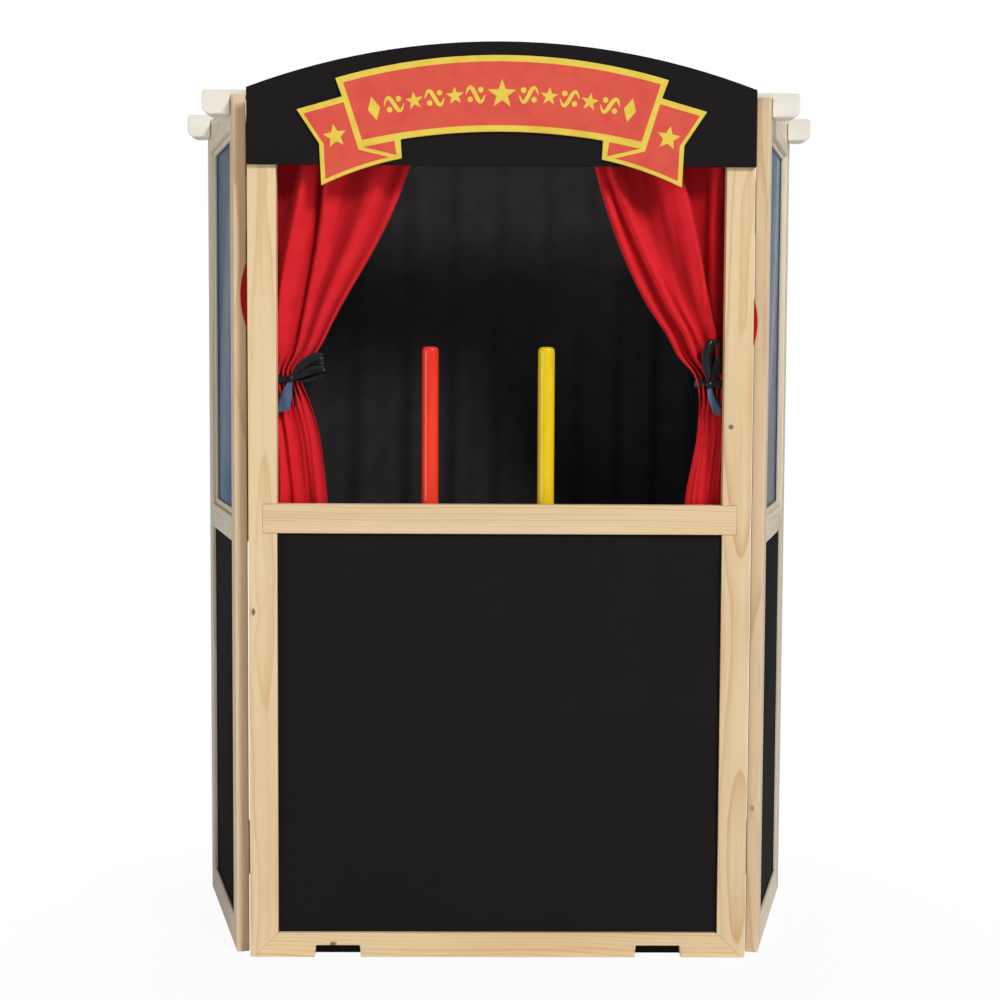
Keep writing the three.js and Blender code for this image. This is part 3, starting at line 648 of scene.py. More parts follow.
def turned_on(profile, sides):
    """Rings of a profile of (radius, height) rows turned round Z: x = r cos a, y = r sin a."""
    radius, height = np.array(profile).T[..., None]
    flat = polar(radius, turns_of(sides))
    return np.concatenate([flat, height[..., None] + 0 * flat[..., :1]], axis=2)


def lathed(node, foot, head, sides, material, slot, axis=2):
    """A turned CAD node again, from the rows of its two ends."""
    low, high = np.array(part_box(node))
    radius = (high - low)[axis - 1] / 2
    profile = [(radius * out, low[axis] + radius * up) for out, up in foot]
    profile += [(radius * out, high[axis] - radius * down) for out, down in head]
    middle = (low + high) / 2
    middle[axis] = 0
    piece = loft(f"{node}_finished", np.roll(turned_on(profile, sides), axis + 1, axis=2) + middle)
    dressed(piece, material, slot, node, body=frame["nodes"][node]["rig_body"])


def enamel(name, *colours):
    """Glossy enamel on a turned stick, with slow runs along it and specks of dust in the coat."""
    return coated(
        name, colours, ((60, 60, 9), 3, 0.35, 0.7), ((1200, 1200, 1200), 2), (0.15, 0.2), (0.25, 0.00015),
        (260, 260, 60), Coat_Weight=0.3, Coat_Roughness=0.08, Specular_IOR_Level=0.3)


rounded("post_rail", sanded_radius, timber("socket rail pine", "X", 3.3, (0.57, 0.0, 0)), "pine")
red_enamel = enamel("red enamel", colour(255, 62, 30), colour(244, 48, 22))
yellow_enamel = enamel("yellow enamel", colour(250, 215, 4), colour(240, 199, 2))
lathed("red_post", post_foot, post_dome, 64, red_enamel, "red_paint")
lathed("yellow_post", post_foot, post_dome, 64, yellow_enamel, "yellow_paint")

# Curtain rod: a pine dowel, pushed into the blind holes of two blocks that are glued to the back
# of the header.
dowel_pine = timber("dowel pine", "X", 5.2, (1.19, 0.03, 0), contrast=0.4)
rod_end = ((0.9, 0.0), (1, 0.1))
rod_middle = sum(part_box("curtain_rod"), Vector()) / 2
lathed("curtain_rod", rod_end, rod_end[::-1], 40, dowel_pine, "pine", axis=0)
for name in ("left_rod_block", "right_rod_block"):
    rounded(name, sanded_radius, timber(f"{name} pine", seed=7.7), "pine")

# Curtains: red cotton cloth. Each one hangs from a sewn pocket on the rod, is drawn aside and is
# gathered tightly by its ribbon. Its outer edge is caught in the gap behind the stile.
cloth_thickness = 0.0009
pocket_radius = 0.0081
pocket_turn = (-0.45, 0.93)
pocket_rows = 18
curtain_rows = 200
curtain_columns = 168
curtain_top = 1.209
curtain_bottom = 0.6185
header_low = 1.110
gathers = 15
gather_depth = 0.0022
gather_drop = 0.16
cinch_pleats = 8
cinch_depth = 0.0088
cinch_reach = 0.022
cinch_behind = 0.0297
crease_depth = 0.0021
crease_reach = 0.04
ripple_depth = 0.0022
fold_depth = {"above": 0.0175, "below": 0.0135}
# Rows of height and half width, in metres.
curtain_inner = {
    "left": (
        (0.6, 0.241), (0.658, 0.2445), (0.703, 0.2495), (0.742, 0.2555), (0.765, 0.262), (0.79, 0.270),
        (0.817, 0.2785), (0.829, 0.2775), (0.846, 0.2635), (0.8626, 0.2525), (0.896, 0.2355),
        (0.93, 0.2172), (0.98, 0.1878), (1.03, 0.161), (1.08, 0.139), (1.114, 0.127), (1.209, 0.102)),
    "right": (
        (0.6, 0.260), (0.66, 0.2637), (0.705, 0.2722), (0.7276, 0.2765), (0.761, 0.2795), (0.79, 0.2800),
        (0.812, 0.2765), (0.825, 0.272), (0.85, 0.2505), (0.882, 0.233), (0.915, 0.210), (0.965, 0.183),
        (1.015, 0.1615), (1.065, 0.144), (1.112, 0.1305), (1.209, 0.11)),
}
curtain_outer = (
    (0.6, 0.3235), (0.7, 0.3245), (0.775, 0.3305), (0.812, 0.3325), (0.85, 0.3345), (0.9, 0.3365),
    (0.97, 0.3365), (1.03, 0.3315), (1.112, 0.3195), (1.18, 0.2985), (1.209, 0.2875))
# Rows of height and depth behind the front.
curtain_behind = (
    (0.6, 0.0325), (0.72, 0.033), (0.8, 0.034), (0.83, 0.034), (0.9, 0.0335), (1.05, 0.0315),
    (1.114, 0.0295), (1.17, 0.0215), (1.209, 0.0165))
# Folds: each one's form at the header or hem, then at the ribbon. A form is its middle as a share
# from the inner edge to the outer one, the half widths inwards and outwards, and the height.
curtain_folds = {
    ("left", "above"): (
        ((0.015, 0.03, 0.04, 0.35), (0.02, 0.03, 0.03, 0.4)),
        ((0.18, 0.06, 0.20, 0.65), (0.19, 0.08, 0.06, 0.7)),
        ((0.31, 0.07, 0.09, -0.55), (0.25, 0.05, 0.05, -0.3)),
        ((0.58, 0.10, 0.03, 1.0), (0.34, 0.07, 0.03, 0.7)),
        ((0.64, 0.025, 0.025, -0.6), (0.36, 0.03, 0.03, -0.1)),
        ((0.75, 0.09, 0.04, 1.1), (0.74, 0.20, 0.05, 1.0)),
        ((0.89, 0.05, 0.08, -0.4), (0.89, 0.04, 0.06, -0.2))),
    ("left", "below"): (
        ((0.14, 0.08, 0.07, 0.8), (0.16, 0.07, 0.28, 0.8)),
        ((0.56, 0.17, 0.03, 0.9), (0.63, 0.10, 0.03, 0.6)),
        ((0.83, 0.16, 0.04, 1.0), (0.78, 0.12, 0.04, 1.0))),
    ("right", "above"): (
        ((0.02, 0.02, 0.04, 0.7), (0.035, 0.02, 0.04, 0.7)),
        ((0.11, 0.03, 0.04, 0.75), (0.31, 0.03, 0.04, 0.9)),
        ((0.10, 0.05, 0.12, 0.1), (0.52, 0.06, 0.08, 0.6)),
        ((0.40, 0.10, 0.12, -0.35), (0.55, 0.07, 0.08, -0.45)),
        ((0.615, 0.20, 0.022, 1.0), (0.67, 0.12, 0.025, 0.9)),
        ((0.855, 0.025, 0.025, -0.4), (0.50, 0.02, 0.02, 0.0)),
        ((0.885, 0.04, 0.05, 0.8), (0.60, 0.03, 0.04, 0.1)),
        ((0.95, 0.06, 0.08, 0.2), (0.84, 0.07, 0.12, -0.9))),
    ("right", "below"): (
        ((0.55, 0.60, 0.60, 0.75), (0.55, 0.60, 0.60, 0.55)),
        ((0.36, 0.15, 0.08, 0.25), (0.22, 0.15, 0.08, 0.25)),
        ((0.57, 0.03, 0.05, 0.15), (0.42, 0.03, 0.05, 0.2))),
}
tie_height = {"left": 0.817, "right": 0.812}
# Where the outer edge is squeezed out between frame and wing: middle, half height and width.
caught_edge = {"left": (0.932, 0.125, 0.0255), "right": (0.895, 0.105, 0.0225)}
caught_from = (0.337, 0.3475)
caught_behind = 0.0137
curtain_flat = (0.185, 0.66)
side_sign = {"left": -1, "right": 1}


def eased(value, low, high):
    """0 below low, 1 above high, and smooth between them."""
    part = np.clip((value - low) / (high - low), 0, 1)
    return part * part * (3 - 2 * part)


def smooth_rows(rows, at):
    """A table of (place, value, ...) rows read at many places: a cubic stretch between two rows,
    with the slope of the neighbouring rows."""
    rows = np.array(rows)
    place, value = rows[:, 0], rows[:, 1:]
    slope = np.gradient(value, place, axis=0)
    row = np.clip(np.searchsorted(place, at) - 1, 0, len(place) - 2)
    gap = (place[row + 1] - place[row])[:, None]
    part = np.clip((at - place[row])[:, None] / gap, 0, 1)
    start, end = value[row], value[row + 1]
    return (start + (end - start) * eased(part, 0, 1) + slope[row] * gap * part * (1 - part) ** 2
            - slope[row + 1] * gap * part ** 2 * (1 - part))


def grid_of(name, points, flat, thickness):
    """A sheet through a grid of points (row, column, axis), with its UV in metres of flat cloth."""
    rows, columns = points.shape[:2]
    at = np.arange(rows * columns).reshape(rows, columns)
    faces = np.stack([at[:-1, :-1], at[:-1, 1:], at[1:, 1:], at[1:, :-1]], axis=2).reshape(-1, 4)
    piece = added(name, bpy.data.meshes.new(name))
    piece.data.from_pydata(points.reshape(-1, 3).tolist(), [], faces.tolist())
    place = np.meshgrid(np.linspace(0, flat[0], columns), np.linspace(0, flat[1], rows))
    corner = np.stack(place, axis=2).reshape(-1, 2)[faces.ravel()]
    piece.data.uv_layers.new(name="flat").uv.foreach_set("vector", corner.astype(np.float32).ravel())
    piece.data.shade_smooth()
    modified(piece, "SOLIDIFY", thickness=thickness, offset=0)
    return piece


def relief(share, folds, way):
    """The sum of ridges exp(-d^2), where d is the distance from the ridge's middle in half widths.
    Each form goes evenly from its start to its end, and its half width differs on its two sides."""
    height = 0
    for fold in folds:
        middle, inward, outward, tall = (start + (end - start) * way for start, end in zip(*fold))
        off = share - middle
        height = height + tall * np.exp(-(off / np.where(off < 0, inward, outward)) ** 2)
    return height


def ripples(share, height, seed, count=9):
    """Slight drag lines: a sum of sine waves whose crests run almost down the cloth."""
    random = np.random.default_rng(seed)
    total = 0
    for _ in range(count):
        across, down, phase = random.uniform(3, 12), random.uniform(-5, 5), random.uniform(0, 2 * math.pi)
        total = total + np.sin(2 * math.pi * (across * share + down * height) + phase) / count
    return total


def curtain_points(side):
    """The cloth in mirrored half widths: round the rod first, then down, folded, to the hem.

    The second value is how far each point stands out of the folds' valleys, 1 on a full ridge; it also sets
    the painted shade of the valleys."""
    share = np.linspace(0, 1, curtain_columns)[None, :]
    turn = np.linspace(*pocket_turn, pocket_rows)[:, None] * math.pi
    drop = (np.linspace(0, 1, curtain_rows) ** 1.02)[:, None]
    level = curtain_top + (curtain_bottom - curtain_top) * drop
    inner, outer = (smooth_rows(rows, level[:, 0]) for rows in (curtain_inner[side], curtain_outer))
    wide = inner + (outer - inner) * share
    gather = np.cos(2 * math.pi * gathers * share + 1.3 * np.sin(9 * share)) * gather_depth
    puff = pocket_radius + 0.25 * gather * np.abs(np.sin(turn))
    pocket = np.stack([
        wide[0] + 0 * turn, rod_middle.y + puff * np.cos(turn), rod_middle.z + puff * np.sin(turn)
    ], axis=2)

    tied = tie_height[side]
    above = eased(level, tied - 0.012, tied + 0.012)
    way_above = np.clip((header_low - level) / (header_low - tied), 0, 1)
    way_below = np.clip((level - curtain_bottom) / (tied - curtain_bottom), 0, 1)
    height = above * fold_depth["above"] * relief(share, curtain_folds[side, "above"], way_above)
    height += (1 - above) * fold_depth["below"] * relief(share, curtain_folds[side, "below"], way_below)
    height *= eased(curtain_top - level, 0.0, 0.12)
    near = np.exp(-((level - tied) / cinch_reach) ** 2)
    close = np.exp(-np.abs(level - tied) / crease_reach)
    height *= 1 - 0.85 * near - 0.35 * close * (1 - near)
    pleat = np.cos(2 * math.pi * cinch_pleats * share + 0.8 * np.sin(7 * share + 20 * level))
    height += pleat * (cinch_depth * near + crease_depth * close)
    height += ripples(share, level, len(side)) * ripple_depth
    behind = smooth_rows(curtain_behind, level[:, 0]) - height
    gathered = eased(level, curtain_top - gather_drop, curtain_top) * eased(curtain_top - level, 0, 0.01)
    behind -= gather * gathered
    behind = behind * (1 - near) + (cinch_behind - height) * near

    caught, reach, out = caught_edge[side]
    bulge = np.cos(np.clip((level - caught) / reach, -1, 1) * math.pi / 2) ** 2 * eased(share, 0.72, 1)
    wide = wide + out * bulge
    squeeze = eased(wide, *caught_from)
    behind = behind * (1 - squeeze) + caught_behind * squeeze
    hanging = np.stack([wide, behind, level + 0 * share], axis=2)
    ridge = np.concatenate([0.5 + 0 * pocket[..., 0], height / fold_depth["above"]])
    return np.concatenate([pocket, hanging]), ridge


def weave_group():
    """Plain woven cloth: two crossing sets of threads, a soft nap, and a sewn line near each edge."""
    tree, given, gives = group_of(
        "plain weave", {"Vector": ["Flat"], "Float": ["Thread", "Width", "Length", "Hem"]},
        {"Float": ["Height", "Fade"]})
    flat, thread, width, length, hem = given
    across, down = put(tree, "ShaderNodeSeparateXYZ", [flat]).node.outputs[:2]
    turns = math_of("DIVIDE", math.pi, thread)
    warp, weft = (math_of("SINE", times(way, turns)) for way in (across, down))
    from_side = math_of("MINIMUM", across, math_of("SUBTRACT", width, across))
    from_edge = math_of("MINIMUM", from_side, math_of("SUBTRACT", length, down))
    seam = math_of("ABSOLUTE", math_of("SUBTRACT", from_edge, hem))
    sewn = ramp_of(seam, 0.0011, 0.0, 0.0, -3.0)
    nap = noise_of(flat, (2400, 2400, 1))
    feed(gives, {
        "Height": scaled(nap, 1.2, scaled(warp, weft, sewn)),
        "Fade": ramp_of(noise_of(flat, (26, 26, 1), 4), 0.35, 0.65)})
    return tree


plain_weave = weave_group()
# Ridge values between which the painted shade of the fold valleys fades out.
painted_shade_from = -0.1
painted_shade_to = 0.5


def cloth(name, base, deep, flat, thread, hem, bump=0.4, painted_valley_shade=None, **sockets):
    """Woven cloth that is a little deeper in colour where the dye took more. Given a valley colour, the
    folds' valleys are darkened with painted shade.
    """
    material, tree, surface = finish_of(name, **sockets)
    values = (put(tree, "ShaderNodeUVMap", uv_map="flat"), thread, *flat, hem)
    woven = put(tree, "ShaderNodeGroup", values, node_tree=plain_weave).node.outputs
    shade = mix_of(woven["Fade"], base, deep)
    if painted_valley_shade:
        # Painted shade: the colour darkens towards the valleys of the folds.
        ridge = put(tree, "ShaderNodeAttribute", attribute_name="ridge", out=2)
        shade = mix_of(ramp_of(ridge, painted_shade_from, painted_shade_to), painted_valley_shade, shade)
    feed(surface, {"Base Color": shade})
    bumped(surface, woven["Height"], bump, 0.0002)
    return material


# The deep red given for the valleys is painted shade.
red_cotton = cloth(
    "curtain cotton", colour(234, 40, 50), colour(226, 34, 44), curtain_flat, thread=0.0007, hem=0.014,
    painted_valley_shade=colour(176, 18, 27), Roughness=0.9, Specular_IOR_Level=0.15, Sheen_Weight=0.12,
    Sheen_Roughness=0.5, Sheen_Tint=(1, 0.35, 0.35, 1))
for side, sign in side_sign.items():
    points, ridge = curtain_points(side)
    hung = grid_of(f"{side}_curtain_cloth", points * (sign, 1, 1), curtain_flat, cloth_thickness)
    # The ridge attribute steers the painted shade in the valleys.
    hung.data.attributes.new("ridge", "FLOAT", "POINT").data.foreach_set("value", ridge.ravel())
    dressed(hung, red_cotton, "red_cloth", f"{side}_curtain")
    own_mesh(hung)

# Ribbon ties: black satin ribbon. It goes round the gathered cloth, is knotted in front into a bow
# of two loops and two ends, and hangs on a round-headed pin at the back of the stile.
ribbon_thickness = 0.0004
ribbon_half = 0.0085
band_flat = (0.0125, 0.158)
band_half_height = 0.0062
band_middle = (0.3055, 0.0297)
band_reach = (0.0338, 0.0128)
band_columns = 97
band_rows = 7
band_roundness = 0.7
band_swell = 0.02
band_pinch = 0.5
pinch_reach = 0.012
band_wave = 0.0006
band_dip = 0.001
knot_place = {"left": (0.2930, 0.0128, 0.8165), "right": (0.2925, 0.0128, 0.8105)}
knot_size = (0.0052, 0.0036, 0.0058)
knot_rows = [(math.cos(lift), math.sin(lift)) for lift in np.linspace(-1.45, 1.45, 17)]
# Each strip's face leans along the first row. The others hold half width, depth and height of a
# point, and the ribbon's half width there.
bow_strips = {
    ("left", "upper_loop"): (
        (0.35, 0.15, 0.92),
        (0.2925, 0.0128, 0.8175, 0.0018), (0.2785, 0.0118, 0.835, 0.005), (0.262, 0.0112, 0.8462, 0.0056),
        (0.249, 0.012, 0.8465, 0.005), (0.2475, 0.016, 0.8425, 0.005), (0.257, 0.0185, 0.8375, 0.0054),
        (0.273, 0.018, 0.8285, 0.0046), (0.2905, 0.015, 0.818, 0.0018)),
    ("left", "lower_loop"): (
        (0.25, 0.35, 0.90),
        (0.2915, 0.0125, 0.8155, 0.0018), (0.279, 0.0108, 0.8215, 0.0044), (0.262, 0.0102, 0.829, 0.005),
        (0.247, 0.011, 0.8305, 0.0046), (0.244, 0.015, 0.827, 0.0046), (0.255, 0.018, 0.8215, 0.0048),
        (0.272, 0.0175, 0.8165, 0.004), (0.29, 0.0145, 0.815, 0.0018)),
    ("left", "long_end"): (
        (0.94, 0.12, -0.32),
        (0.293, 0.012, 0.815, 0.0022), (0.2955, 0.0108, 0.806, 0.0052), (0.2985, 0.0104, 0.796, 0.0078),
        (0.3015, 0.0106, 0.785, 0.0088), (0.303, 0.011, 0.7715, 0.009)),
    ("left", "short_end"): (
        (0.6, 0.8, -0.05),
        (0.2915, 0.013, 0.814, 0.0018), (0.29, 0.013, 0.804, 0.003), (0.288, 0.0125, 0.793, 0.0034),
        (0.2872, 0.013, 0.777, 0.0034)),
    ("right", "upper_loop"): (
        (0.93, 0.2, 0.3),
        (0.2925, 0.0128, 0.812, 0.0018), (0.2895, 0.0112, 0.83, 0.0056), (0.2885, 0.0104, 0.849, 0.0072),
        (0.2935, 0.0108, 0.865, 0.007), (0.299, 0.0135, 0.8725, 0.0062), (0.303, 0.0175, 0.866, 0.0058),
        (0.301, 0.019, 0.848, 0.0054), (0.294, 0.0155, 0.814, 0.0018)),
    ("right", "lower_loop"): (
        (0.85, 0.5, -0.15),
        (0.294, 0.013, 0.812, 0.0018), (0.3015, 0.0114, 0.824, 0.004), (0.306, 0.011, 0.838, 0.0044),
        (0.308, 0.0122, 0.8505, 0.004), (0.3095, 0.0155, 0.85, 0.0038), (0.31, 0.018, 0.836, 0.0036),
        (0.2955, 0.015, 0.812, 0.0018)),
    ("right", "long_end"): (
        (0.92, 0.2, 0.33),
        (0.2925, 0.0122, 0.809, 0.002), (0.2935, 0.0106, 0.799, 0.004), (0.2965, 0.0102, 0.789, 0.0052),
        (0.301, 0.0106, 0.7785, 0.0056), (0.3055, 0.0112, 0.769, 0.0056)),
    ("right", "short_end"): (
        (0.8, 0.5, 0.33),
        (0.2945, 0.013, 0.809, 0.0018), (0.299, 0.0124, 0.799, 0.003), (0.3035, 0.0118, 0.789, 0.0034),
        (0.3085, 0.0124, 0.779, 0.0034)),
}
end_slant = 0.0035
strip_rows = 60
strip_columns = 9
strip_hollow = 0.25
strip_ripple = 0.12
satin_shine = (0.75, 0.85, 1.0, 1)


def strip(name, rows, lean, slant):
    """A ribbon along a smooth line: its two edges lie at its half width on both sides, along the
    lean of its face, which is bent hollow by a quarter of a half width."""
    at = np.linspace(0, len(rows) - 1, strip_rows)
    line = smooth_rows(np.column_stack([np.arange(len(rows)), rows]), at)
    lean = unit(np.array(lean))
    way = unit(np.gradient(line[:, :3], axis=0))
    across = unit(lean - way * (way @ lean)[:, None])
    face = np.cross(way, across)
    side = np.linspace(-1, 1, strip_columns)[None, :, None]
    ripple = strip_ripple * np.sin(3.2 * side + at[:, None, None] * 1.9)
    hollow = strip_hollow * (side ** 2 - 0.4) + ripple
    half = line[:, None, 3:4]
    points = line[:, None, :3] + across[:, None] * side * half + face[:, None] * hollow * half
    points = points + way[:, None] * slant * side * (at / at[-1])[:, None, None] ** 8
    length = float(np.linalg.norm(np.diff(line[:, :3], axis=0), axis=1).sum())
    return grid_of(name, points, (2 * ribbon_half, length), ribbon_thickness), length


def bundle_band(side, sign):
    """The ribbon's turn round the cloth: a flat loop with full corners, closed in itself, lower
    where it comes to the knot and wavy along its edges."""
    turn = np.linspace(0, 2 * math.pi, band_columns)
    cos, sin = np.cos(turn), np.sin(turn)
    share = np.linspace(-1, 1, band_rows)[:, None]
    swell = 1 + band_swell * (1 - share ** 2)
    along = band_reach[0] * np.sign(cos) * np.abs(cos) ** band_roundness
    behind = band_reach[1] * np.sign(sin) * np.abs(sin) ** band_roundness
    from_knot = band_middle[0] + along - knot_place[side][0]
    half = band_half_height * (1 - band_pinch * np.exp(-(from_knot / pinch_reach) ** 2) * (sin < 0))
    level = tie_height[side] + band_wave * np.sin(5 * turn) - band_dip * cos
    points = np.stack([
        (band_middle[0] + along * swell) * sign, band_middle[1] + behind * swell, level + half * share
    ], axis=2)
    return grid_of(f"{side}_tie_band", points, band_flat[::-1], ribbon_thickness)


def satin_group():
    """Fine threads that float along the ribbon, crossed by soft creases."""
    tree, (flat,), gives = group_of("satin threads", {"Vector": ["Flat"]}, {"Float": ["Height"]})
    feed(gives, {"Height": scaled(noise_of(flat, (170, 60, 1), 3), 4.0, noise_of(flat, (90, 2600, 1)))})
    return tree


satin_threads = satin_group()


def satin(name, base):
    """Satin: a smooth face of long floating threads that shines bluish."""
    material, tree, surface = finish_of(
        name, Base_Color=base, Roughness=0.24, Specular_IOR_Level=0.4, Specular_Tint=satin_shine,
        Sheen_Weight=0.05, Sheen_Roughness=0.3, Sheen_Tint=satin_shine)
    flat = put(tree, "ShaderNodeUVMap", uv_map="flat")
    bumped(surface, put(tree, "ShaderNodeGroup", [flat], node_tree=satin_threads), 0.35, 0.0002)
    return material


black_satin = satin("tie satin", colour(22, 21, 23))
# The long end is the same black satin; the bright blue-grey of its reflection is painted into its colour.
painted_sheen_satin = satin("tie end satin", colour(80, 102, 134))
for side, sign in side_sign.items():
    band = dressed(bundle_band(side, sign), black_satin, "black_satin", f"{side}_tie")
    tied = [band]
    for part in ("upper_loop", "lower_loop", "long_end", "short_end"):
        lean, *rows = bow_strips[side, part]
        slant = end_slant if part.endswith("end") else 0
        mirror = np.array((sign, 1, 1))
        piece, length = strip(f"{side}_tie_{part}", np.array(rows) * (*mirror, 1), lean * mirror, slant)
        dressed(piece, painted_sheen_satin if part == "long_end" else black_satin, "black_satin")
        tied.append(piece)
    x, y, z = knot_place[side]
    knot = loft(f"{side}_tie_knot", turned_on(knot_rows, 28) * knot_size + (sign * x, y, z))
    tied.append(dressed(knot, black_satin, "black_satin"))
    for piece in tied:
        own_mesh(piece)

# Steel fittings: zinc-plated butt hinges with rolled knuckles and round-ended pins, countersunk
# cross-recessed screws, and the round-headed pins that the ribbons hang on.
leaf_radius = 0.0003
screw_head = (0.0036, 0.0036, 0.0004)
screw_dome = ((1.0, -0.6), (1.0, 0.15), (0.94, 0.5), (0.8, 0.75), (0.5, 0.95), (0.15, 1.0))
recess_half = (0.0022, 0.0005)
recess_levels = (0.4, 1.06)
spangle_grey = colour(150, 154, 158)
hinge_screw_heights = (-0.026, 0.0, 0.026)
bead_screw_heights = (0.06, 0.19, 0.32, 0.45, 0.58)
low_screw_places = (-0.29, -0.15, 0.0, 0.15, 0.29)
stile_screw_place = (0.3206, 0.7528)
hinge_screw_zigzag = 0.0045
frame_screw_place = (0.3375, 0.0115)
# Across the wing outwards and along it, from the hinge's axis.
wing_screw_place = (0.0017, 0.0130)
wing_angle = math.radians(14)
hinge_axis = (0.35, 0.0135)
pin_end = ((0.3, 0.0), (0.75, 0.187), (1.0, 0.533))
hook_foot = ((0.6, 0.0),)
hook_head = ((0.6, 1.1), (1.5, 1.0), (1.7, 0.65), (1.5, 0.25), (0.7, 0.0))


def steel_plate(name, base, rough):
    """Zinc-plated steel: a metal with the fine brushing and the spangle of its bath."""
    return coated(
        name, (base, spangle_grey), ((160, 160, 160), 3, *even_clouds),
        ((1500, 1500, 90), 2), (0.2, rough), (0.15, 0.0001), Metallic=1.0)


zinc = steel_plate("zinc plate", colour(205, 207, 210), 0.25)
dulled_zinc = steel_plate("dulled zinc plate", colour(146, 130, 112), 0.5)
# The recess is not cut into the head: a dark cross on top is painted shade.
recess_painted_shade = steel_plate("screw recess", colour(66, 66, 68), 0.5)


def placed(rings, place, face, turn):
    """Points drawn along Z, spun by a turn and moved to a place, with Z along a level direction."""
    spin = np.array(Matrix.Rotation(turn, 3, "Z")).T
    across = np.cross((0, 0, 1), face)
    return rings @ spin @ np.array([across, np.cross(face, across), face]) + place


def screws(name, spots, body, metal=zinc):
    """Screw heads: low domes turned from an arc profile, each with a dark cross laid in its top, painted
    shade for the cross recess.
    """
    dome = turned_on(screw_dome, 28) * screw_head
    long, thin = recess_half
    corners = [(long, thin), (thin, thin), (thin, long), (-thin, long), (-thin, thin), (-long, thin)]
    corners += [(-x, -y) for x, y in corners]
    recess = np.array([[(x, y, screw_head[2] * level) for x, y in corners] for level in recess_levels])
    heads, recesses = ([placed(rings, *spot) for spot in spots] for rings in (dome, recess))
    dressed(loft(f"{name}_heads", *heads), metal, "zinc_steel", body=body)
    dressed(loft(f"{name}_recesses", *recesses), recess_painted_shade, "zinc_steel", body=body)


for side, sign in side_sign.items():
    frame_spots, wing_spots = [], []
    sin, cos = math.sin(wing_angle), math.cos(wing_angle)
    for level in ("lower", "upper"):
        leaf = f"{side}_{level}_hinge_leaf"
        rounded(leaf, leaf_radius, zinc, "zinc_steel")
        rounded(f"{side}_wing_{level}_hinge_leaf", leaf_radius, zinc, "zinc_steel")
        lathed(f"{side}_{level}_hinge_pin", pin_end, pin_end[::-1], 24, zinc, "zinc_steel")
        low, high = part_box(leaf)
        for turn, offset in enumerate(hinge_screw_heights):
            height = (low.z + high.z) / 2 + offset
            shift = hinge_screw_zigzag * (-1) ** turn
            x, y = frame_screw_place
            frame_spots.append(((sign * (x + shift), y, height), (0, 1, 0), 0.6 * turn + sign))
            across, run = wing_screw_place[0], wing_screw_place[1] + shift
            x, y = hinge_axis[0] + across * cos + run * sin, hinge_axis[1] - across * sin + run * cos
            wing_spots.append(((sign * x, y, height), (-sign * cos, sin, 0), 0.9 * turn - sign))
    screws(f"{side}_frame_hinge_screws", frame_spots, "front_frame")
    screws(f"{side}_wing_hinge_screws", wing_spots, f"{side}_wing")
    lathed(f"{side}_tie_hook", hook_foot, hook_head, 28, zinc, "zinc_steel", axis=1)

bead_low, bead_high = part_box("panel_bead")
strip_low, strip_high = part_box("skirting_strip")
bead_half = (bead_high.y - bead_low.y) / 2
bead_screws = [
    ((sign * (bead_high.x - bead_half), bead_high.y, height), (0, 1, 0), height * 9)
    for sign in (-1, 1) for height in bead_screw_heights
]
strip_screws = []
for x in low_screw_places:
    for height, spin in ((bead_low.z + bead_half, 11), (bead_high.z - bead_half, 7)):
        bead_screws.append(((x, bead_high.y, height), (0, 1, 0), x * spin))
    strip_screws.append(((x, strip_high.y, (strip_low.z + strip_high.z) / 2), (0, 1, 0), x * 13))
screws("panel_bead_screws", bead_screws, "front_frame")
screws("skirting_strip_screws", strip_screws, "front_frame")
x, height = stile_screw_place
stile_spot = ((x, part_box("right_stile")[0].y, height), (0, -1, 0), 0.5)
screws("stile_screw", [stile_spot], "front_frame", dulled_zinc)

# Wings: a mitre-free pine frame each, glued from two stiles and three rails, with a black board
# below and a clear acrylic pane above that a thin pine bead holds from outside.
wing_radius = 0.0022
pane_radius = 0.0004
front_tones = {"light": colour(240, 217, 180), "late": colour(206, 162, 108)}
# All wing parts but the front stiles get paler, greyer pine: painted reflection, the whitening of their
# outer faces seen at a grazing angle.
painted_sheen_tones = {"light": colour(236, 224, 201), "late": colour(206, 180, 144)}
wing_knots = {"left": ((-0.3665, 0.0178, 0.716), 0.0026), "right": ((0.3623, 0.0176, 0.2094), 0.0042)}
wing_timber = {
    "front_stile": ("Z", (0.372, 0.11, 0), 0.0), "rear_stile": ("Z", (0.43, 0.29, 0), 1.0),
    "top_rail": ("Y", (0.40, -1.19, 0), 2.0), "middle_rail": ("Y", (0.31, -0.60, 0), 3.0),
    "bottom_rail": ("Y", (0.39, -0.05, 0), 4.0), "window_bead": ("Z", (0.30, 0.2, 0), 5.0),
}

# The pane's cool blue-grey acrylic has a milky haze, here and there wiped clearer.
pane_finish, tree, surface = finish_of(
    "clear acrylic", Base_Color=colour(90, 132, 174), Transmission_Weight=0.6, IOR=1.12,
    Specular_IOR_Level=0.3)
wiped = noise_of(put(tree, "ShaderNodeTexCoord", out=3), (6, 6, 30), 4)
feed(surface, {"Roughness": scaled(wiped, 0.16, 0.08)})

for side, sign in side_sign.items():
    knot, knot_radius = wing_knots[side]
    for part, (grain, heart, seed) in wing_timber.items():
        in_front = part == "front_stile"
        pine = timber(
            f"{side} wing {part.replace('_', ' ')} pine", grain, seed + 11 * (sign > 0),
            (sign * heart[0], *heart[1:]), knot if in_front else no_knot, knot_radius,
            sign * wing_angle if grain == "Y" else 0.0, contrast=0.8,
            **(front_tones if in_front else painted_sheen_tones))
        rounded(f"{side}_wing_{part}", bead_radius if part == "window_bead" else wing_radius, pine, "pine")
    rounded(f"{side}_wing_lower_panel", board_radius, black_board, "black_board")
    rounded(f"{side}_wing_window", pane_radius, pane_finish, "clear_pane")

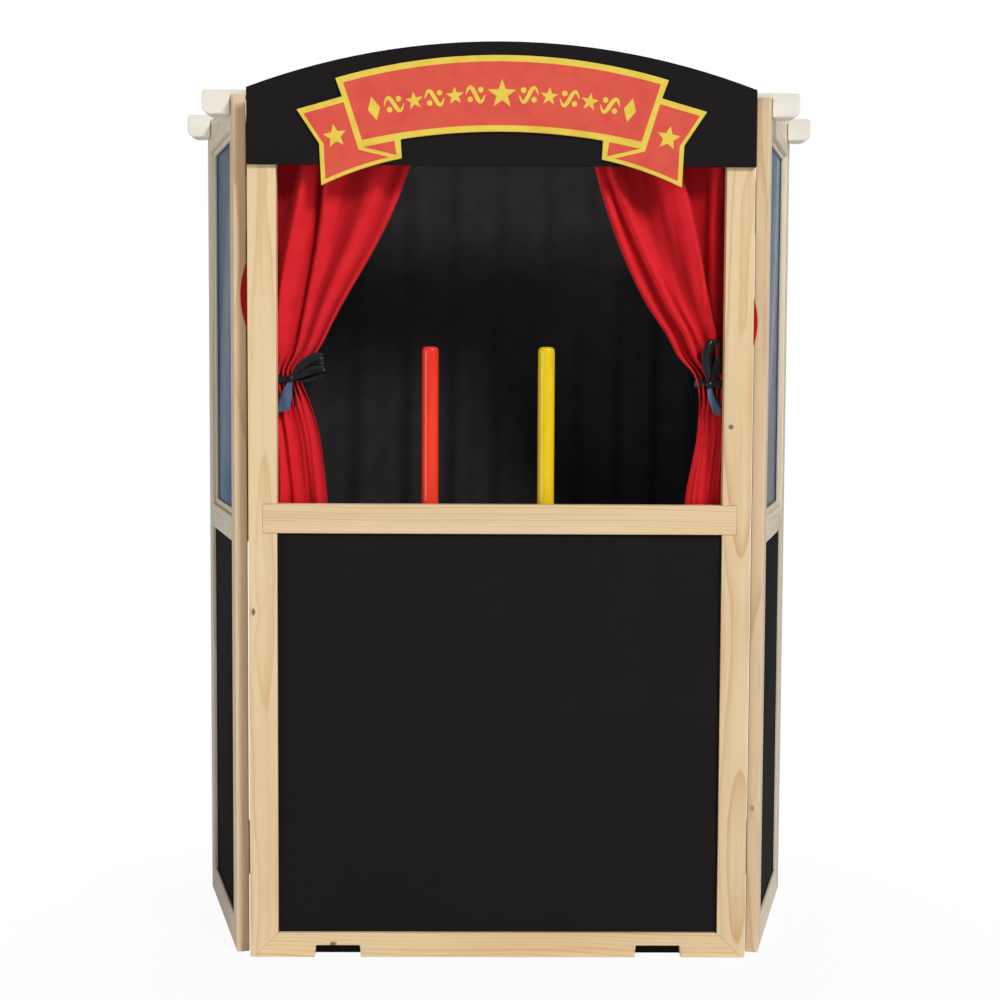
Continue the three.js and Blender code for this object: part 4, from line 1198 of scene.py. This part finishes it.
# Cross bars: each is one pale hardwood slat with a stop block glued under both ends. The ends are
# cut round, and all edges are softened. The stops' inner faces follow the wings.
bar_radius = 0.0026
bar_end_radius = (0.0042, 0.0115)
bar_bevel_angle = math.radians(50)
bar_rings = 5
bar_light = colour(252, 250, 239)
bar_late = colour(238, 231, 215)
stop_off_hinge = 0.0223


def round_corner(x, z, radius, start, steps=7):
    """Points of a quarter arc round a middle, from an angle counted in quarters of a turn."""
    return [*(polar(radius, np.linspace(start, start + 1, steps) * math.pi / 2) + (x, z))]


def bar_outline(half, inner, low, under, top):
    """The bar seen from the front, anticlockwise from the middle of its right stop's inner face."""
    upper, lower = bar_end_radius
    right = [(inner, under), (inner, low)]
    right += round_corner(half - lower, low + lower, lower, -1)
    right += round_corner(half - upper, top - upper, upper, 0)
    return right + [(-x, z) for x, z in right[::-1]]


for bar, seed in (("front_bar", 1.0), ("rear_bar", 2.0)):
    low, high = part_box(bar)
    stop_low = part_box(f"{bar}_right_stop")[0].z
    rings = []
    for y in np.linspace(low.y, high.y, bar_rings):
        inner = hinge_axis[0] + (y - hinge_axis[1]) * math.tan(wing_angle)
        inner += stop_off_hinge / math.cos(wing_angle)
        rings.append([(x, y, z) for x, z in bar_outline(high.x, inner, stop_low, low.z, high.z)])
    slat = loft(f"{bar}_finished", rings)
    modified(slat, "BEVEL", width=bar_radius, segments=4, angle_limit=bar_bevel_angle, harden_normals=True)
    pale_wood = timber(
        f"{bar} hardwood", "X", seed, (1.16, 0.3, 0), light=bar_light, late=bar_late, contrast=0.35,
        ring=0.003)
    dressed(slat, pale_wood, "pale_wood", bar, f"{bar}_left_stop", f"{bar}_right_stop", body=bar)

# Backdrop: black cotton cloth, gathered a little and stapled to the front of the rear bar. It
# hangs free behind the stage and ends below the sill.
drop_low, drop_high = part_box("backdrop")
backdrop_columns = 260
backdrop_rows = 90
backdrop_flat = (0.83, 0.65)
backdrop_thickness = 0.0008
backdrop_spare = 0.001


def backdrop_points():
    """Hanging folds: sine waves across with a drifting phase, deeper towards the free hem."""
    share = np.linspace(0, 1, backdrop_columns)[None, :]
    down = np.linspace(0, 1, backdrop_rows)[:, None]
    deep = (drop_high.y - drop_low.y) / 2 - backdrop_spare
    drift = 1.1 * np.sin(2.3 * math.pi * share + 0.7) + 0.5 * np.sin(5.1 * math.pi * share)
    main = np.sin(2 * math.pi * 11 * share + drift + 0.5 * down)
    small = np.sin(2 * math.pi * 23 * share + 2.2 * down + 2 * drift)
    wave = (0.72 * main + 0.28 * small) * (0.35 + 0.65 * eased(down, 0, 0.7))
    x = drop_low.x + (drop_high.x - drop_low.x) * share + 0 * down
    y = (drop_low.y + drop_high.y) / 2 + deep * wave
    z = drop_high.z + (drop_low.z - drop_high.z) * down + 0 * share
    return np.stack([x, y, z], axis=2)


black_cotton = cloth(
    "backdrop cotton", colour(52, 50, 51), colour(48, 46, 47), backdrop_flat, thread=0.0008, hem=0.02,
    bump=0.3, Roughness=0.95, Specular_IOR_Level=0.05)
backdrop = grid_of("backdrop_cloth", backdrop_points(), backdrop_flat, backdrop_thickness)
dressed(backdrop, black_cotton, "black_cloth", "backdrop", body="rear_bar")
